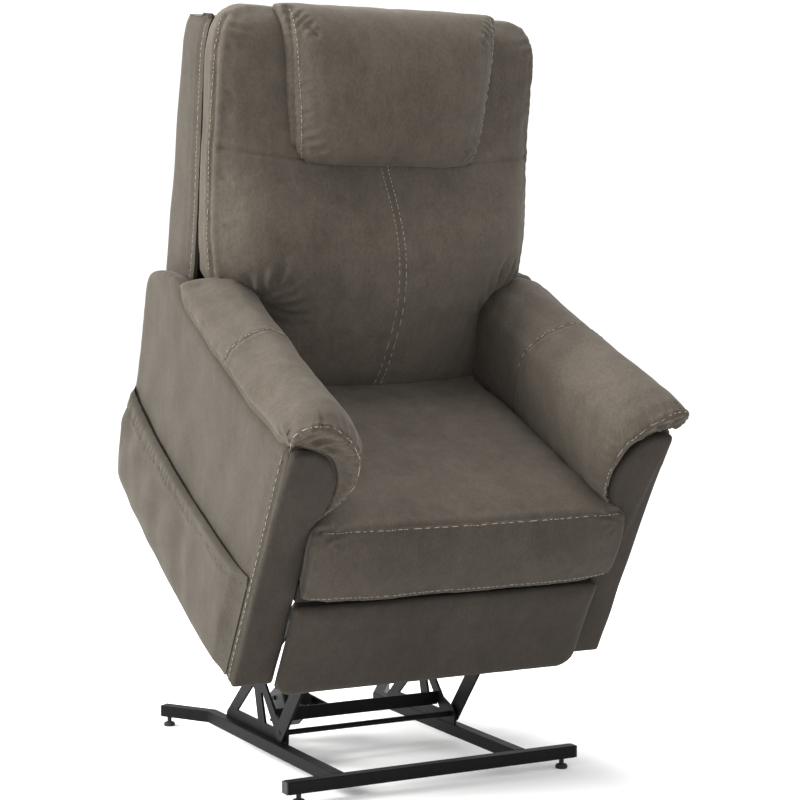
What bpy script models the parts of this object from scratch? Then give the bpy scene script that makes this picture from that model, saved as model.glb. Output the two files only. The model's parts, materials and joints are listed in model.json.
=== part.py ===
"""Lift recliner chair, standing in its lifted pose on its steel base.

Metres, +Z up.  The sitter faces -Y and +X is the sitter's left.  The origin is
on the floor under the middle of the chair.

Three frames are used.  The base frame has y = 0 at the front face of the front
floor tube.  The chair frame is the upholstered body's own frame: it starts at
the middle of the body's lower front edge and tips forward with the lift.  The
back frame starts at the recline pivot and leans back with the backrest.
"""

import math

import bmesh
import bpy
from mathutils import Matrix, Vector

# ---------------------------------------------------------------- driving sizes
ORIGIN_X = 0.0123            # moves the box's middle to x = 0, because the pocket is on one side
ORIGIN_Y = -0.241            # moves the box's middle to y = 0
GAP = 0.0003                 # between touching pieces

WIDTH = 0.84                 # outside of the arms
HALF = WIDTH / 2

TUBE = 0.0254                # one inch square floor tube
FLOOR_GAP = 0.021            # height of the levelling feet
FRONT_TUBE = 0.654
RAIL_X = 0.208
RAIL_STRAIGHT = 0.648
RAIL_END = (0.280, 0.755)

LIFTED_TILT = math.radians(28.3)
LIFTED_AT = (0.060, 0.234)   # chair frame's origin in the base frame, lifted (y, z)

# pivots of the lift linkage, (y, z): A and B in the base frame, C and D in the chair frame
PIVOT_A = (0.2958, 0.0680)
PIVOT_B = (0.4268, 0.1690)
PIVOT_C = (0.0748, 0.0436)
PIVOT_D = (0.1474, 0.1036)
LIFT_MOTOR_M = (0.4962, 0.0955)
LIFT_MOTOR_E = (0.2873, 0.2426)
LIFT_MOTOR_X = -0.10

BRACKET_X = (0.196, 0.201)   # layers of the lift linkage, distance from the middle plane
LINK_X = (0.2035, 0.2095)
PLATE_X = (0.212, 0.217)
LINK_WIDTH = 0.036
BOLT_R = 0.006
BOLT_HOLE = 0.0063
OPEN_HOLE = 0.0125           # the rear link's free upper eye

# backrest
RECLINE_AT = (0.60, 0.30)    # chair frame
BACK_LEAN = math.radians(18)
RECLINE_MOTOR_M = (0.215, 0.180)
LEVER_EYE = (0.0677, -0.0867)    # back frame
RECLINE_MOTOR_X = 0.100

# footrest linkage, chair frame
FOOT_P0 = (0.090, 0.210)
FOOT_P1 = (0.147, 0.034)
FOOT_P2 = (0.018, 0.150)
FOOT_OUTER_X = (0.2840, 0.2900)
FOOT_INNER_X = (0.2775, 0.2835)

# body
ARM_INNER = 0.342
PANEL_INNER = 0.380          # inner face of the arm's outer panel
ARM_REAR = 0.600             # rear end of the arm's pad
ARM_SPLIT = 0.455            # height where the arm's frame ends and its pad starts
SEAT_FRONT_HALF = 0.337
SEAT_REAR_HALF = 0.262
SEAT_REAR_Y = 0.48
BACK_HALF = 0.36

HANDSET_Y = 0.145
HANDSET_Z = (0.030, 0.160)
POCKET_OUT = 0.0246          # how far the side pocket stands out of the arm

SIDES = (("left", 1), ("right", -1))

# ---------------------------------------------------------------- scene set-up
for old in list(bpy.data.objects):
    bpy.data.objects.remove(old)

parts = bpy.data.collections.new("lift_recliner_chair")
cutters = bpy.data.collections.new("cutters")
bpy.context.scene.collection.children.link(parts)
bpy.context.scene.collection.children.link(cutters)


def material(name, color, roughness, metallic=0.0):
    made = bpy.data.materials.new(name)
    made.use_nodes = True
    shader = made.node_tree.nodes["Principled BSDF"]
    shader.inputs["Base Color"].default_value = (*color, 1)
    shader.inputs["Roughness"].default_value = roughness
    shader.inputs["Metallic"].default_value = metallic
    made.diffuse_color = (*color, 1)
    return made


FABRIC = material("upholstery", (0.13, 0.115, 0.095), 0.9)
BLACK_STEEL = material("black_steel", (0.02, 0.02, 0.02), 0.4, 0.6)
ZINC = material("zinc_plated_steel", (0.55, 0.55, 0.53), 0.35, 1.0)
WOOD = material("plywood", (0.55, 0.40, 0.24), 0.7)
PLASTIC = material("black_plastic", (0.02, 0.02, 0.02), 0.5)
RUBBER = material("rubber", (0.03, 0.03, 0.03), 0.9)
BUTTON = material("button_grey", (0.5, 0.5, 0.5), 0.5)
WEBBING = material("webbing", (0.06, 0.05, 0.04), 0.95)


def empty(name, parent, location, tilt=0.0):
    made = bpy.data.objects.new(name, None)
    parts.objects.link(made)
    made.parent = parent
    made.location = location
    made.rotation_euler.x = tilt
    return made


ROOT = empty("base_frame", None, (ORIGIN_X, ORIGIN_Y, 0))
CHAIR = empty("chair_frame", ROOT, (0, *LIFTED_AT), LIFTED_TILT)
BACK = empty("back_frame_axis", CHAIR, (0, *RECLINE_AT), -BACK_LEAN)


# ---------------------------------------------------------------- shape helpers
def add(name, mesh, parent, mat, location=(0, 0, 0), rotation=(0, 0, 0)):
    made = bpy.data.objects.new(name, mesh)
    parts.objects.link(made)
    made.parent = parent
    made.location = location
    made.rotation_euler = rotation
    mesh.materials.append(mat)
    return made


def bevel(piece, width, segments=2):
    change = piece.modifiers.new("edges", "BEVEL")
    change.width = width
    change.segments = segments
    change.limit_method = "ANGLE"
    change.angle_limit = math.radians(35)


def box_mesh(name, low, high):
    low, high = Vector(low), Vector(high)
    mesh = bpy.data.meshes.new(name)
    work = bmesh.new()
    bmesh.ops.create_cube(work, size=1.0)
    for vert in work.verts:
        vert.co = Vector([c * s for c, s in zip(vert.co, high - low)]) + (low + high) / 2
    work.to_mesh(mesh)
    work.free()
    return mesh


def box(name, low, high, parent, mat, edge=0.0):
    made = add(name, box_mesh(name, low, high), parent, mat)
    if edge:
        bevel(made, edge)
    return made


def rod_mesh(name, radius, length, sides=16):
    """A cylinder along X from 0 to length."""
    mesh = bpy.data.meshes.new(name)
    work = bmesh.new()
    bmesh.ops.create_cone(work, cap_ends=True, segments=sides, radius1=radius, radius2=radius,
                          depth=length)
    turn = Matrix.Rotation(math.pi / 2, 4, "Y")
    bmesh.ops.transform(work, matrix=Matrix.Translation((length / 2, 0, 0)) @ turn, verts=work.verts)
    work.to_mesh(mesh)
    work.free()
    mesh.shade_smooth()
    mesh.set_sharp_from_angle(angle=math.radians(40))
    return mesh


def cross_rod(name, x0, x1, at, radius, parent, mat, sides=16):
    """A round rod across the chair, from x0 to x1, centred at (y, z)."""
    x0, x1 = min(x0, x1), max(x0, x1)
    return add(name, rod_mesh(name, radius, x1 - x0, sides), parent, mat, (x0, *at))


def turned(name, profile, parent, mat, location, rotation, steps=16):
    """A profile of (radius, height) points from top to bottom, turned about the piece's own Z."""
    mesh = bpy.data.meshes.new(name)
    points = [(radius, 0, height) for radius, height in profile]
    mesh.from_pydata(points, [(i, i + 1) for i in range(len(points) - 1)], [])
    made = add(name, mesh, parent, mat, location, rotation)
    screw = made.modifiers.new("turn", "SCREW")
    screw.axis = "Z"
    screw.steps = steps
    screw.render_steps = steps
    screw.use_merge_vertices = True
    screw.merge_threshold = 0.0001
    screw.use_smooth_shade = False
    return made


def arc(centre, radius, start, end, steps):
    """Points round a centre from one angle to another, in degrees."""
    found = []
    for i in range(steps + 1):
        angle = math.radians(start + (end - start) * i / steps)
        found.append((centre[0] + radius * math.cos(angle), centre[1] + radius * math.sin(angle)))
    return found


def circle(centre, radius, sides=16):
    return arc(centre, radius, 0, 360, sides)[:-1]


def capsule(a, b, radius, steps=8):
    """A flat bar with round ends about a and b."""
    lean = math.degrees(math.atan2(b[1] - a[1], b[0] - a[0]))
    return arc(b, radius, lean - 90, lean + 90, steps) + arc(a, radius, lean + 90, lean + 270, steps)


def plate_mesh(name, outline, x0, x1, holes=(), plan=False):
    """A flat outline in (y, z), or in (x, y) for a plan, made solid between x0 and x1 (or z0, z1)."""
    curve = bpy.data.curves.new(name, "CURVE")
    curve.dimensions = "2D"
    curve.fill_mode = "BOTH"
    curve.extrude = abs(x1 - x0) / 2
    for loop in (outline, *holes):
        spline = curve.splines.new("POLY")
        spline.points.add(len(loop) - 1)
        for point, (u, v) in zip(spline.points, loop):
            point.co = (u, v, 0, 1)
        spline.use_cyclic_u = True
    middle = (x0 + x1) / 2
    made = bpy.data.objects.new(name, curve)
    parts.objects.link(made)
    graph = bpy.context.evaluated_depsgraph_get()
    mesh = bpy.data.meshes.new_from_object(made.evaluated_get(graph))
    bpy.data.objects.remove(made)
    work = bmesh.new()
    work.from_mesh(mesh)
    bmesh.ops.remove_doubles(work, verts=work.verts, dist=0.00001)
    if plan:
        turn = Matrix.Translation((0, 0, middle))
    else:
        turn = Matrix(((0, 0, 1, middle), (1, 0, 0, 0), (0, 1, 0, 0), (0, 0, 0, 1)))
    bmesh.ops.transform(work, matrix=turn, verts=work.verts)
    work.to_mesh(mesh)
    work.free()
    return mesh


def plate(name, outline, x0, x1, parent, mat, holes=(), plan=False):
    return add(name, plate_mesh(name, outline, x0, x1, holes, plan), parent, mat)


def combine(piece, operation, mesh, location=(0, 0, 0), rotation=(0, 0, 0)):
    """Joins a mesh to the piece or takes it out, with the mesh placed in the piece's parent frame."""
    helper = bpy.data.objects.new(operation.lower() + "_" + piece.name, mesh)
    cutters.objects.link(helper)
    helper.parent = piece.parent
    helper.location = location
    helper.rotation_euler = rotation
    helper.hide_render = True
    helper.display_type = "WIRE"
    change = piece.modifiers.new(operation.lower(), "BOOLEAN")
    change.operation = operation
    change.solver = "EXACT"
    change.object = helper


def cut(piece, mesh, location=(0, 0, 0), rotation=(0, 0, 0)):
    combine(piece, "DIFFERENCE", mesh, location, rotation)


def weld(piece, mesh, location=(0, 0, 0), rotation=(0, 0, 0)):
    combine(piece, "UNION", mesh, location, rotation)


def stud(piece, side, start, end, at, radius, head=None):
    """A round stud along X welded into the piece, with an optional head at its start."""
    x0, x1 = sorted((side * start, side * end))
    weld(piece, rod_mesh("stud", radius, x1 - x0, 12), (x0, *at))
    if head:
        x0, x1 = sorted((side * start, side * (start + head)))
        weld(piece, rod_mesh("head", radius + 0.0035, x1 - x0, 12), (x0, *at))


def spans(layer, side):
    """A layer's x range on one side."""
    return tuple(sorted((layer[0] * side, layer[1] * side)))


def to_base(point):
    """A chair-frame (y, z) in the base frame."""
    c, s = math.cos(LIFTED_TILT), math.sin(LIFTED_TILT)
    return (LIFTED_AT[0] + point[0] * c - point[1] * s, LIFTED_AT[1] + point[0] * s + point[1] * c)


# ---------------------------------------------------------------- steel base
def floor_frame():
    top = FLOOR_GAP + TUBE
    half = FRONT_TUBE / 2
    box("front_cross_tube", (-half, 0, FLOOR_GAP), (half, TUBE, top), ROOT, BLACK_STEEL, 0.002)
    for side_name, side in SIDES:
        x0, x1 = sorted((side * (half + GAP), side * (half + 0.0035)))
        box("front_tube_cap_" + side_name, (x0, 0.0005, FLOOR_GAP + 0.0005),
            (x1, TUBE - 0.0005, top - 0.0005), ROOT, PLASTIC, 0.001)
        rail(side_name, side, top)
        for place, spot in (("front", (side * 0.300, TUBE / 2)), ("rear", (side * 0.272, 0.740))):
            foot("leveling_foot_" + place + "_" + side_name, spot)


def rail(side_name, side, top):
    """A side rail: straight back from the front tube, then splayed outward to its foot."""
    half = TUBE / 2
    bend = Vector((RAIL_X, RAIL_STRAIGHT))
    end = Vector(RAIL_END)
    along = (end - bend).normalized()
    across = Vector((along.y, -along.x)) * half
    miter = half * math.tan(math.atan2(along.x, along.y) / 2)
    outline = [(RAIL_X - half, TUBE + GAP), (RAIL_X + half, TUBE + GAP),
               (RAIL_X + half, RAIL_STRAIGHT - miter), tuple(end + across), tuple(end - across),
               (RAIL_X - half, RAIL_STRAIGHT + miter)]
    outline = [(side * x, y) for x, y in outline]
    made = plate("side_rail_" + side_name, outline, FLOOR_GAP, top, ROOT, BLACK_STEEL, plan=True)
    bevel(made, 0.002)


def foot(name, spot):
    top = FLOOR_GAP - GAP
    profile = [(0, top), (0.005, top), (0.005, 0.010), (0.011, 0.008), (0.0125, 0.0055),
               (0.0125, 0.0015), (0.0115, 0), (0, 0)]
    turned(name, profile, ROOT, RUBBER, (*spot, 0), (0, 0, 0), 20)


def riser_bracket(side_name, side):
    """The A-shaped plate that carries the two lift pivots above the rail."""
    floor = FLOOR_GAP + TUBE + GAP
    outline = [(0.277, floor), (0.586, floor), (0.582, 0.058)]
    outline += arc(PIVOT_B, 0.021, 40, 150, 6)
    outline += [(0.330, 0.098)]
    outline += arc(PIVOT_A, 0.020, 75, 190, 6)
    windows = [
        [(0.340, 0.070), (0.385, 0.070), (0.405, 0.130), (0.398, 0.134)],
        [(0.420, 0.070), (0.528, 0.070), (0.449, 0.138), (0.438, 0.134)],
    ]
    holes = [circle(PIVOT_A, BOLT_HOLE), *windows]
    made = plate("riser_bracket_" + side_name, outline, *spans(BRACKET_X, side), ROOT,
                 BLACK_STEEL, holes)
    stud(made, side, 0.1910, 0.2105, PIVOT_B, BOLT_R, 0.006)


def crossbar():
    """An angle iron between the two risers, with the lift actuator's mount welded behind it."""
    flange = [(0.350, 0.078), (0.372, 0.078), (0.372, 0.082), (0.354, 0.082), (0.354, 0.106),
              (0.350, 0.106)]
    inner = BRACKET_X[0] - GAP
    made = plate("base_crossbar", flange, -inner, inner, ROOT, BLACK_STEEL)
    actuator_mount(made, LIFT_MOTOR_X, LIFT_MOTOR_M, 0.3520, 0.0795, 0.104)


def actuator_mount(piece, x, at, start, low, high):
    """A plate welded to the piece, with the pin that an actuator's gearbox turns on."""
    outline = [(start, low), (at[0], at[1] - 0.014)]
    outline += arc(at, 0.014, -60, 90, 6)
    outline += [(start, high)]
    weld(piece, plate_mesh("mount", outline, x + 0.031, x + 0.036))
    weld(piece, rod_mesh("pin", 0.005, 0.064, 12), (x - 0.030, *at))


# ---------------------------------------------------------------- lift linkage
def lift_links():
    c1 = to_base(PIVOT_C)
    d1 = to_base(PIVOT_D)
    front = empty("front_link_axis", ROOT, (0, *PIVOT_A))
    rear = empty("rear_link_axis", ROOT, (0, *PIVOT_B))
    reach = (c1[0] - PIVOT_A[0], c1[1] - PIVOT_A[1])
    back = (d1[0] - PIVOT_B[0], d1[1] - PIVOT_B[1])
    tube_at = (reach[0] * 0.52, reach[1] * 0.52)
    for side_name, side in SIDES:
        holes = [circle((0, 0), BOLT_HOLE), circle(reach, BOLT_HOLE), circle(tube_at, 0.0105)]
        plate("front_lift_link_" + side_name, capsule((0, 0), reach, LINK_WIDTH / 2),
              *spans(LINK_X, side), front, BLACK_STEEL, holes)
        holes = [circle((0, 0), BOLT_HOLE), circle(back, OPEN_HOLE, 20)]
        plate("rear_lift_link_" + side_name, capsule((0, 0), back, LINK_WIDTH / 2),
              *spans(LINK_X, side), rear, BLACK_STEEL, holes)
    cross_rod("front_pivot_axle", -0.2105, 0.2105, PIVOT_A, BOLT_R, ROOT, ZINC, 12)
    tube = cross_rod("lift_torque_tube", -0.2095, 0.2095, tube_at, 0.0100, front, BLACK_STEEL, 20)
    eye = (LIFT_MOTOR_E[0] - PIVOT_A[0], LIFT_MOTOR_E[1] - PIVOT_A[1])
    x = LIFT_MOTOR_X
    weld(tube, plate_mesh("clevis", capsule(tube_at, eye, 0.0150), x + 0.0053, x + 0.0113))
    weld(tube, rod_mesh("pin", 0.005, 0.016, 12), (x - 0.007, *eye))


def actuator(name, x, start, end, parent, tube_to, rod_from, eye_hole, below):
    """A linear actuator from a pinned gearbox to an eye: the body is one piece, the rod the other.

    tube_to and rod_from are distances from the gearbox's pin.  below is 1 or -1, the side of the
    tube on which the gearbox and motor hang.
    """
    along = Vector((0, end[0] - start[0], end[1] - start[1]))
    length = along.length
    axis = empty(name + "_axis", parent, (x, *start), math.atan2(along.z, along.y))
    low, high = sorted((-0.022 * below, 0.060 * below))
    body = box(name + "_body", (-0.026, -0.022, low), (0.026, 0.040, high), axis, PLASTIC, 0.005)
    lengthwise = (0, 0, math.pi / 2)
    weld(body, rod_mesh("tube", 0.0185, tube_to - 0.030, 20), (0, 0.030, 0), lengthwise)
    weld(body, rod_mesh("can", 0.0170, 0.055, 20), (0, 0.030, 0.041 * below), lengthwise)
    cut(body, rod_mesh("bore", 0.0102, tube_to, 16), (0, 0.060, 0), lengthwise)
    cut(body, rod_mesh("pin_hole", 0.0054, 0.080, 12), (-0.040, 0, 0))
    width = 0.0070
    round_end = eye_hole + 0.005
    corner = math.degrees(math.asin(width / round_end))
    outline = [(rod_from, -width)]
    outline += arc((length, 0), round_end, 180 + corner, 540 - corner, 14)
    outline += [(rod_from, width)]
    plate(name + "_rod", outline, -0.0048, 0.0048, axis, ZINC, [circle((length, 0), eye_hole, 14)])


# ---------------------------------------------------------------- carriage under the seat
def carriage():
    outline = [(0.050, 0.020), (0.060, 0.014), (0.110, 0.014), (0.180, 0.060), (0.300, 0.100),
               (0.540, 0.128), (0.590, 0.140), (0.622, 0.290)]
    outline += arc(RECLINE_AT, 0.022, -10, 190, 8)
    outline += [(0.508, 0.188), (0.150, 0.188), (0.045, 0.120)]
    front_tube = (0.165, 0.185, 0.155, 0.175)
    rear_tube = (0.555, 0.575, 0.145, 0.165)
    for side_name, side in SIDES:
        holes = []
        for y0, y1, z0, z1 in (front_tube, rear_tube):
            holes.append([(y0 - GAP, z0 - GAP), (y1 + GAP, z0 - GAP), (y1 + GAP, z1 + GAP),
                          (y0 - GAP, z1 + GAP)])
        made = plate("carriage_plate_" + side_name, outline, *spans(PLATE_X, side), CHAIR,
                     BLACK_STEEL, holes)
        stud(made, side, 0.2220, 0.2030, PIVOT_C, BOLT_R, -0.006)
        stud(made, side, 0.2220, 0.2030, PIVOT_D, BOLT_R, -0.006)
        stud(made, side, 0.2140, 0.2290, RECLINE_AT, 0.005)
    end = ARM_INNER - 0.0005
    front = box("carriage_front_tube", (-end, front_tube[0], front_tube[2]),
                (end, front_tube[1], front_tube[3]), CHAIR, BLACK_STEEL)
    box("carriage_rear_tube", (-end, rear_tube[0], rear_tube[2]), (end, rear_tube[1], rear_tube[3]),
        CHAIR, BLACK_STEEL)
    actuator_mount(front, RECLINE_MOTOR_X, RECLINE_MOTOR_M, 0.180, 0.158, 0.173)


def seat_frame():
    low, high = 0.195, 0.232
    front = box("seat_front_rail", (-0.333, -0.010, low), (0.333, 0.020, high), CHAIR, WOOD)
    for side_name, side in SIDES:
        x0, x1 = sorted((side * 0.2815, side * 0.2925))
        cut(front, box_mesh("notch", (x0, -0.030, 0.180), (x1, 0.040, 0.209)))
        x0, x1 = sorted((side * 0.2970, side * 0.3120))
        box("seat_side_rail_" + side_name, (x0, 0.0205, low), (x1, 0.500, high), CHAIR, WOOD)
    box("seat_webbing", (-0.310, -0.009, high + GAP), (0.310, 0.499, high + 0.005), CHAIR, WEBBING)


def seat_cushion():
    """A wedge in plan: it narrows to the rear between the arms' inner pads."""
    outline = [(-SEAT_FRONT_HALF, -0.030), (SEAT_FRONT_HALF, -0.030), (SEAT_FRONT_HALF, 0.030),
               (SEAT_REAR_HALF, SEAT_REAR_Y), (SEAT_REAR_HALF, 0.500), (-SEAT_REAR_HALF, 0.500),
               (-SEAT_REAR_HALF, SEAT_REAR_Y), (-SEAT_FRONT_HALF, 0.030)]
    made = plate("seat_cushion", outline, 0.238, 0.366, CHAIR, FABRIC, plan=True)
    bevel(made, 0.012, 2)


def arm(side_name, side):
    """The arm's side panel with its padded frame inside it, and the pad on top.

    The side panel runs on behind the pad, where the backrest's shell passes inside it.
    """
    panel = [(0.0, 0.0), (0.675, 0.0), (0.698, 0.030), (0.688, 0.249), (0.735, ARM_SPLIT),
             (0.742, 0.485), (0.722, 0.513), (0.660, 0.543), (ARM_REAR, 0.553),
             (ARM_REAR, ARM_SPLIT), (0.0, ARM_SPLIT)]
    piece = plate("arm_frame_" + side_name, panel, *spans((PANEL_INNER, HALF), side), CHAIR, FABRIC)
    block = [(0.001, 0.001), (ARM_REAR, 0.001), (ARM_REAR, ARM_SPLIT - 0.0010),
             (0.001, ARM_SPLIT - 0.0010)]
    weld(piece, plate_mesh("block", block, *spans((ARM_INNER, PANEL_INNER + 0.008), side)))
    outer = ARM_INNER + 0.008
    inner = [(outer, 0.030), (outer, 0.590), (SEAT_REAR_HALF + 0.002, 0.590),
             (SEAT_REAR_HALF + 0.002, SEAT_REAR_Y), (SEAT_FRONT_HALF + 0.0015, 0.030)]
    weld(piece, plate_mesh("padding", [(side * x, y) for x, y in inner], 0.2378,
                           ARM_SPLIT - 0.0005, plan=True))
    low = ARM_SPLIT + GAP
    rear = ARM_REAR - GAP
    pad = [(0.0, low), (rear, low), (rear, 0.553), (0.580, 0.557), (0.430, 0.581), (0.270, 0.602),
           (0.120, 0.624), (0.000, 0.638), (-0.040, 0.634), (-0.058, 0.610), (-0.050, 0.560),
           (-0.022, 0.500)]
    piece = plate("arm_pad_" + side_name, pad, *spans((0.270, HALF), side), CHAIR, FABRIC)
    bevel(piece, 0.020, 2)


def rear_apron():
    box("rear_apron", (-0.3795, 0.666, 0.030), (0.3795, 0.680, 0.220), CHAIR, FABRIC, 0.003)
    supply = box("power_supply", (0.030, 0.600, 0.045), (0.150, 0.6655, 0.105), CHAIR, PLASTIC,
                 0.004)
    cut(supply, box_mesh("inlet", (0.072, 0.590, 0.064), (0.096, 0.616, 0.080)))


# ---------------------------------------------------------------- side pocket and handset
def side_pocket():
    """The open-topped pocket on the sitter's right, with the handset inside it."""
    skin = 0.0030
    inner = -HALF - GAP
    outer = -HALF - POCKET_OUT
    piece = box("side_pocket", (outer, 0.030, 0.005), (inner, 0.686, 0.240), CHAIR, FABRIC)
    cut(piece, box_mesh("slot", (outer + skin, 0.035, 0.011), (inner - skin, 0.681, 0.300)))
    x0, x1 = -0.4380, -0.4245
    low, high = HANDSET_Z
    handset = box("handset", (x0, HANDSET_Y - 0.026, low), (x1, HANDSET_Y + 0.026, high), CHAIR,
                  PLASTIC, 0.003)
    for name, height in (("lift_up_button", 0.125), ("lift_down_button", 0.100)):
        cut(handset, rod_mesh("well", 0.0082, 0.020, 16), (x0 - 0.0155, HANDSET_Y, height))
        cross_rod(name, x0 - 0.0008, x0 + 0.0025, (HANDSET_Y, height), 0.0078, CHAIR, BUTTON, 16)


# ---------------------------------------------------------------- backrest
def backrest():
    panel = [(-0.22, 0.030), (0.22, 0.030), (0.22, 0.262), (0.328, 0.262), (0.328, 0.700),
             (0.290, 0.735), (-0.290, 0.735), (-0.328, 0.700), (-0.328, 0.262), (-0.22, 0.262)]
    piece = plate("back_frame", panel, 0.012, 0.030, BACK, WOOD, plan=True)
    piece.rotation_euler.x = math.pi / 2
    shell()
    back_cushion()
    head_pillow()
    for side_name, side in SIDES:
        plate("back_hinge_" + side_name, capsule((0, 0), (-0.012, 0.160), 0.0175),
              *spans((0.2205, 0.2255), side), BACK, BLACK_STEEL, [circle((0, 0), 0.0053, 12)])
    x = RECLINE_MOTOR_X
    lever = plate("recline_lever", capsule((0.006, 0.130), LEVER_EYE, 0.0150), x + 0.0053,
                  x + 0.0113, BACK, BLACK_STEEL)
    weld(lever, rod_mesh("pin", 0.005, 0.016, 12), (x - 0.007, *LEVER_EYE))


def shell():
    """The upholstered outer back: a back wall with sides and a top, open to the front and below."""
    side_view = [(-0.030, 0.262), (0.020, 0.215), (0.112, 0.215), (0.108, 0.700), (0.085, 0.752),
                 (0.000, 0.752), (-0.012, 0.700)]
    piece = plate("back_shell", side_view, -BACK_HALF, BACK_HALF, BACK, FABRIC)
    bevel(piece, 0.010, 1)
    cut(piece, box_mesh("hollow", (-0.335, -0.080, 0.100), (0.335, 0.094, 0.738)))


def back_cushion():
    side_view = [(-0.034, 0.050), (-0.034, 0.786), (-0.050, 0.798), (-0.062, 0.785),
                 (-0.121, 0.478), (-0.167, 0.420), (-0.202, 0.354), (-0.218, 0.295),
                 (-0.217, 0.223), (-0.206, 0.148), (-0.178, 0.068), (-0.160, 0.050)]
    piece = plate("back_cushion", side_view, -BACK_HALF, BACK_HALF, BACK, FABRIC)
    for side_name, side in SIDES:
        x0, x1 = sorted((side * SEAT_REAR_HALF, side * (BACK_HALF + 0.05)))
        cut(piece, box_mesh("notch_" + side_name, (x0, -0.30, 0.0), (x1, 0.05, 0.264)))


def head_pillow():
    side_view = [(-0.1285, 0.470), (-0.0640, 0.782), (-0.056, 0.808), (-0.085, 0.815),
                 (-0.120, 0.780), (-0.152, 0.700), (-0.180, 0.560), (-0.182, 0.500),
                 (-0.160, 0.472)]
    piece = plate("head_pillow", side_view, -0.225, 0.225, BACK, FABRIC)
    bevel(piece, 0.006, 1)


# ---------------------------------------------------------------- footrest
def footrest():
    drive = empty("footrest_drive_axis", CHAIR, (0, *FOOT_P0))
    reach = empty("footrest_reach_axis", CHAIR, (0, *FOOT_P1))
    board = empty("footrest_board_axis", CHAIR, (0, *FOOT_P2))
    p1 = (FOOT_P1[0] - FOOT_P0[0], FOOT_P1[1] - FOOT_P0[1])
    p2 = (FOOT_P2[0] - FOOT_P1[0], FOOT_P2[1] - FOOT_P1[1])
    for side_name, side in SIDES:
        link = plate("footrest_drive_link_" + side_name, capsule((0, 0), p1, 0.0135),
                     *spans(FOOT_OUTER_X, side), drive, BLACK_STEEL, [circle((0, 0), 0.0083)])
        stud(link, side, 0.2915, 0.2760, p1, 0.004)
        plate("footrest_reach_link_" + side_name, capsule((0, 0), p2, 0.0115),
              *spans(FOOT_INNER_X, side), reach, BLACK_STEEL,
              [circle((0, 0), 0.0043, 12), circle(p2, 0.0043, 12)])
        outline = [(-0.0175, -0.050), (0.004, -0.050), (0.0125, -0.010), (0.0125, 0.012),
                   (0.002, 0.033), (-0.0175, 0.033)]
        plate("footrest_bracket_" + side_name, outline, *spans(FOOT_OUTER_X, side), board,
              BLACK_STEEL, [circle((0, 0), 0.0043, 12)])
    cross_rod("footrest_board_rod", -0.2915, 0.2915, (0, 0), 0.004, board, ZINC, 12)
    cross_rod("footrest_drive_tube", -0.2965, 0.2965, (0, 0), 0.008, drive, BLACK_STEEL, 16)
    y, z = FOOT_P2
    box("footrest_board", (-0.328, -0.012 - y, -0.012 - z), (0.328, -y, 0.190 - z), board, WOOD)
    pad = box("footrest_pad", (-0.337, -0.034 - y, -0.020 - z), (0.337, -0.0123 - y, 0.198 - z),
              board, FABRIC)
    bevel(pad, 0.007, 2)


def main():
    floor_frame()
    for side_name, side in SIDES:
        riser_bracket(side_name, side)
        arm(side_name, side)
    crossbar()
    lift_links()
    actuator("lift_motor", LIFT_MOTOR_X, LIFT_MOTOR_M, LIFT_MOTOR_E, ROOT, 0.170, 0.065,
             0.0105, 1)
    carriage()
    seat_frame()
    seat_cushion()
    rear_apron()
    side_pocket()
    backrest()
    c, s = math.cos(-BACK_LEAN), math.sin(-BACK_LEAN)
    eye = (RECLINE_AT[0] + LEVER_EYE[0] * c - LEVER_EYE[1] * s,
           RECLINE_AT[1] + LEVER_EYE[0] * s + LEVER_EYE[1] * c)
    actuator("recline_motor", RECLINE_MOTOR_X, RECLINE_MOTOR_M, eye, CHAIR, 0.290, 0.142, 0.0125,
             -1)
    footrest()


main()
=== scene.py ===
"""Lift recliner in its lifted pose: upholstery, finishes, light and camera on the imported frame."""

import json
from math import cos, pi, radians, sin

import bmesh
import bpy
import numpy as np
from mathutils import Matrix, Vector
from mathutils.bvhtree import BVHTree


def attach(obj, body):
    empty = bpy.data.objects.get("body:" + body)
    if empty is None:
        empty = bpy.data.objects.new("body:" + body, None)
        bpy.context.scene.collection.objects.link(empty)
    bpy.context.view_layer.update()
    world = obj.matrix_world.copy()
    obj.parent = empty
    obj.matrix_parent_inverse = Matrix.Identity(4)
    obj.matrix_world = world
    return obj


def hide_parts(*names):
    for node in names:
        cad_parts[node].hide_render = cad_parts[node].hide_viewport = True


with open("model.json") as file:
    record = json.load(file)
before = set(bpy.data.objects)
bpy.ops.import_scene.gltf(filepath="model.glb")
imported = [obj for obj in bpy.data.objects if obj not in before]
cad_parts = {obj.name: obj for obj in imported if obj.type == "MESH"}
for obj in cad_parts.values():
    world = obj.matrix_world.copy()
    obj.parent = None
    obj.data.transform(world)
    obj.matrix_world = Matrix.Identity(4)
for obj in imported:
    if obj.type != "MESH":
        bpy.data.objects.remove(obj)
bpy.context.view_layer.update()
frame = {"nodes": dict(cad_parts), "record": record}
NODES = frame["nodes"]

# The chair stands in its own frame: x sideways, y to the rear, z up from its lower edge.
SEAT_TILT = radians(28.3)
BACK_RAKE = radians(-18)
CHAIR = Matrix.Translation((0.0123, -0.181, 0.234)) @ Matrix.Rotation(SEAT_TILT, 4, "X")
BACK = CHAIR @ Matrix.Translation((0, 0.60, 0.30)) @ Matrix.Rotation(BACK_RAKE, 4, "X")


# ---------------------------------------------------------------- curves and fields


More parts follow.
